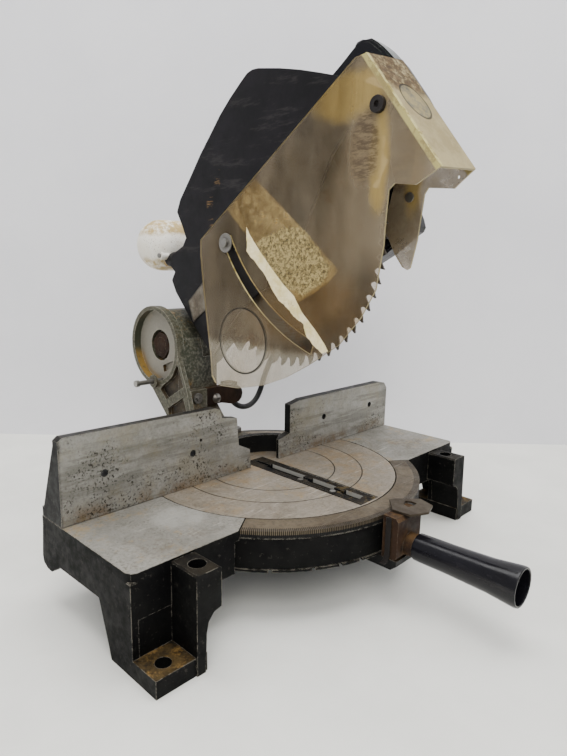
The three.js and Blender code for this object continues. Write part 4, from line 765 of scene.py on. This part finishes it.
# the flap on the right is milky
flap = g.mul(g.step(g.X, 30, 36), 1.0)
haze = g.math("ADD", haze, g.mul(flap, g.step(g.noise(20, 6, 0.75, w=10.0), 0.35, 0.65, 0.08, 0.28)))
# white scoring along the bottom edge, where the teeth have rubbed
low = g.mul(side, g.step(g.math("ADD", g.Z, g.rag(90, 7.0, 12.0)), 212, 224, 1.0, 0.0))
haze = g.math("ADD", haze, g.mul(low, 0.14))
hcol = g.mix(g.mul(low, 0.6), hcol, srgb("#c9c3b2"))
# bright edges of the sheet
ed = g.mul(g.step(g.math("ABSOLUTE", g.NX), 0.35, 0.75, 1.0, 0.0), g.math("SUBTRACT", 1.0, g.mx(front, back), clamp=True))
haze = g.math("ADD", haze, g.mul(ed, 0.7))
hcol = g.mix(g.mul(ed, 0.85), hcol, srgb("#8f835c"))
dark = g.mx(ov, g.mul(ovf, 0.8))
haze = g.math("ADD", haze, g.mul(dark, 0.9), clamp=True)
hcol = g.mix(dark, hcol, srgb("#15130f"))
haze = g.math("MINIMUM", haze, 0.97)
tr = g.node("ShaderNodeBsdfTransparent")
g.put(tr.inputs["Color"], tint)
mixs = g.node("ShaderNodeMixShader")
g.put(mixs.inputs[0], haze)
g.t.links.new(tr.outputs[0], mixs.inputs[1])
g.t.links.new(g.bsdf.outputs[0], mixs.inputs[2])
g.t.links.new(mixs.outputs[0], g.out.inputs["Surface"])
M_GUARD = g.done(hcol, g.step(g.noise(60, 4, 0.7), 0.3, 0.7, 0.28, 0.45), 0.0, None, Specular_IOR_Level=g.mixf(front, 0.18, 0.02))
give(M_GUARD, "guard_shell")
give(M_RUBBER, "lead_loop_cord", "mains_lead_cord")

# ------------------------------------------------------------------ built pieces
def new_obj(name, verts, faces, mats, idx=None, smooth=False):
    me = bpy.data.meshes.new(name)
    me.from_pydata([tuple(v) for v in verts], [], faces)
    for m in mats:
        me.materials.append(m)
    for i, f in enumerate(me.polygons):
        f.use_smooth = smooth
        if idx:
            f.material_index = idx[i]
    o = bpy.data.objects.new(name, me)
    bpy.context.scene.collection.objects.link(o)
    bm = bmesh.new()
    bm.from_mesh(me)
    bmesh.ops.recalc_face_normals(bm, faces=bm.faces)
    bm.to_mesh(me)
    bm.free()
    return o


# toothed blade: hooked gullets, brazed tips, four expansion slots closed with a round hole left out
BY, BZ, BR = -22.9, 326.2, 127.0
NT = 60
prof, tips = [], []
for k in range(NT):
    a = 2 * math.pi * k / NT
    da = 2 * math.pi / NT
    # rake face looks towards increasing angle, so the blade cuts downwards at the front
    for fr_, r in ((0.00, BR - 9.2), (0.10, BR - 9.9), (0.22, BR - 9.3), (0.34, BR - 7.0), (0.50, BR - 3.6), (0.72, BR - 1.5), (0.83, BR - 0.9), (0.86, BR - 2.5), (0.84, BR - 5.6), (0.90, BR - 8.0)):
        prof.append((r, a + da * fr_))
    tips.append((a + da * 0.77, a + da * 0.87))


def yz(r, a):
    return BY + r * math.cos(a), BZ + r * math.sin(a)


verts, faces, idx = [], [], []
n = len(prof)
inner = [(60.0, p[1]) for p in prof]
hub = [(8.1, p[1]) for p in prof]
for x in (-0.95, 0.95):
    for ringp in (prof, inner, hub):
        for r, a in ringp:
            y, z = yz(r, a)
            verts.append(V(x, y, z))
for s in (0, 1):
    o_ = s * 3 * n
    for i in range(n):
        j = (i + 1) % n
        q = [(o_ + i, o_ + j, o_ + n + j, o_ + n + i), (o_ + n + i, o_ + n + j, o_ + 2 * n + j, o_ + 2 * n + i)]
        for f in q:
            faces.append(f if s == 0 else tuple(reversed(f)))
            idx.append(0)
for i in range(n):
    j = (i + 1) % n
    faces.append((i, 3 * n + i, 3 * n + j, j)); idx.append(0)
    faces.append((2 * n + i, 2 * n + j, 5 * n + j, 5 * n + i)); idx.append(0)
for a0, a1 in tips:
    b = len(verts)
    for x in (-1.4, 1.4):
        for r, a in ((BR - 1.0, a0), (BR, a1), (BR - 5.4, a1 - 0.002), (BR - 5.4, a0 + 0.004)):
            y, z = yz(r, a)
            verts.append(V(x, y, z))
    for f in ((0, 1, 2, 3), (7, 6, 5, 4), (0, 4, 5, 1), (1, 5, 6, 2), (2, 6, 7, 3), (3, 7, 4, 0)):
        faces.append(tuple(b + q for q in f)); idx.append(1)
blade_obj = new_obj("saw_blade_toothed", verts, faces, [M_BLADE, M_CARBIDE], idx)
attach(blade_obj, "blade")
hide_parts("saw_blade")

# torn strip of blank paper still stuck to the guard's outer face
STRIP = [(14, 341), (9, 333), (-5, 318), (-21, 302), (-40, 285), (-55, 274), (-66, 259), (-82, 245), (-96, 231), (-100, 225), (-93, 222), (-81, 229), (-71, 238), (-68, 248),
         (-55, 254.5), (-46.5, 262), (-34, 268.5), (-24, 280), (-16, 291.5), (-3, 303), (8, 311.5), (13.5, 317), (12.5, 323), (14, 331)]
rng = random.Random(11)
out = []
for i, p in enumerate(STRIP):
    q = STRIP[(i + 1) % len(STRIP)]
    m = 5
    upper = i <= 8
    for k in range(m):
        t = k / m
        w_ = 0.35 if upper else 1.1
        out.append((p[0] + (q[0] - p[0]) * t + (rng.random() - 0.5) * w_, p[1] + (q[1] - p[1]) * t + (rng.random() - 0.5) * w_))
from mathutils.geometry import tessellate_polygon
tris = tessellate_polygon([[Vector((0, p[0], p[1])) for p in out]])
# thin where the stop pin's head passes over it, curled a little elsewhere
verts = [V(-16.56, *p) for p in out]
verts += [V(-16.66 if math.hypot(p[0] + 145.4, p[1] - 434) > 200 else -16.84 - 0.25 * math.sin(i * 0.9) ** 2, *p) for i, p in enumerate(out)]
m = len(out)
faces = [tuple(t) for t in tris] + [tuple(reversed([m + q for q in t])) for t in tris]
faces += [(i, (i + 1) % m, m + (i + 1) % m, m + i) for i in range(m)]
g = K("paper_residue")
col = g.mix(g.step(g.noise(60, 6, 0.8), 0.4, 0.62), srgb("#fff0c2"), srgb("#ead793"))
col = g.mix(g.mul(g.step(g.noise(44, 6, 0.8, w=3.0), 0.56, 0.64), 0.7), col, srgb("#a98a4e"))
M_PAPER = g.done(col, 0.8, 0.0, g.bump(g.noise(300, 4, 0.7), 0.3, 0.0004))
strip = new_obj("guard_paper_strip", verts, faces, [M_PAPER])
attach(strip, "guard")

# bevelled, smooth-shaded CAD castings
BEV = {"handle_left_shell": 0.0022, "handle_right_shell": 0.0022, "blade_case": 0.0024, "motor_housing": 0.002, "motor_end_cap": 0.0015,
       "pivot_arm": 0.0018, "head_casting": 0.0015, "base_casting": 0.0012, "dust_spout": 0.0008, "guard_shell": 0.0005, "fence": 0.001}
for n, o in N.items():
    for f in o.data.polygons:
        f.use_smooth = True
    if "custom_normal" in o.data.attributes:
        o.data.attributes.remove(o.data.attributes["custom_normal"])
    w = o.modifiers.new("weld", "WELD")
    w.merge_threshold = 1e-5
    size = max((b - a) for a, b in zip(*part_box(n)))
    b = o.modifiers.new("bevel", "BEVEL")
    b.width = BEV.get(n, 0.0008 if size > 0.04 else 0.0003)
    b.segments = 3 if n in BEV else 2
    b.limit_method = "ANGLE"
    b.angle_limit = math.radians(32)
    b.harden_normals = True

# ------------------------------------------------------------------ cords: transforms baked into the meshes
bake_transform(lead_loop)
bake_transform(lead_main)
print("LENGTHS", path_len(loop_path), path_len(main_path))

# ------------------------------------------------------------------ stage and light
def plane(name, pts, mat):
    me = bpy.data.meshes.new(name)
    me.from_pydata([tuple(p) for p in pts], [], [list(range(len(pts)))])
    o = bpy.data.objects.new(name, me)
    bpy.context.scene.collection.objects.link(o)
    me.materials.append(mat)
    return o


g = G("floor")
M_FLOOR = g.done(g.mix(g.step(g.noise(9, 5, 0.6), 0.3, 0.7), srgb("#ecebe3"), srgb("#e3e2da")), 0.6, 0.0)
g = G("wall")
M_WALL = g.done(g.mix(g.step(g.noise(4, 5, 0.6), 0.3, 0.7), srgb("#e8e7eb"), srgb("#efeef1")), 0.8, 0.0)
floor = plane("floor", [(-4, -4, 0), (4, -4, 0), (4, 4, 0), (-4, 4, 0)], M_FLOOR)
wd = Vector((math.sin(YAW), math.cos(YAW), 0))
wr = Vector((math.cos(YAW), -math.sin(YAW), 0))
wc = Vector((-0.436, -0.4235, 0)) + wd * 0.985
wall = plane("wall", [wc - wr * 4, wc + wr * 4, wc + wr * 4 + Vector((0, 0, 3)), wc - wr * 4 + Vector((0, 0, 3))], M_WALL)


def area(name, loc, target, size, power, color=(1, 1, 1)):
    d = bpy.data.lights.new(name, "AREA")
    d.shape = "RECTANGLE"
    d.size, d.size_y = size
    d.energy = power
    d.color = color
    o = bpy.data.objects.new(name, d)
    bpy.context.scene.collection.objects.link(o)
    o.location = loc
    o.rotation_mode = "QUATERNION"
    o.rotation_quaternion = (Vector(target) - Vector(loc)).to_track_quat("-Z", "Y")
    return o


area("key", (-1.1, -1.3, 1.7), (0, 0, 0.2), (1.4, 1.4), 29, (1.0, 0.99, 0.97))
area("fill", (1.6, -1.0, 1.2), (0, 0, 0.2), (1.5, 1.5), 15, (0.95, 0.97, 1.0))
area("top", (0, 0.1, 2.0), (0, 0, 0), (1.6, 1.6), 52, (1, 1, 1))
world = bpy.data.worlds.new("world")
bpy.context.scene.world = world
world.use_nodes = True
world.node_tree.nodes["Background"].inputs[0].default_value = (0.86, 0.88, 0.92, 1)
world.node_tree.nodes["Background"].inputs[1].default_value = 0.74
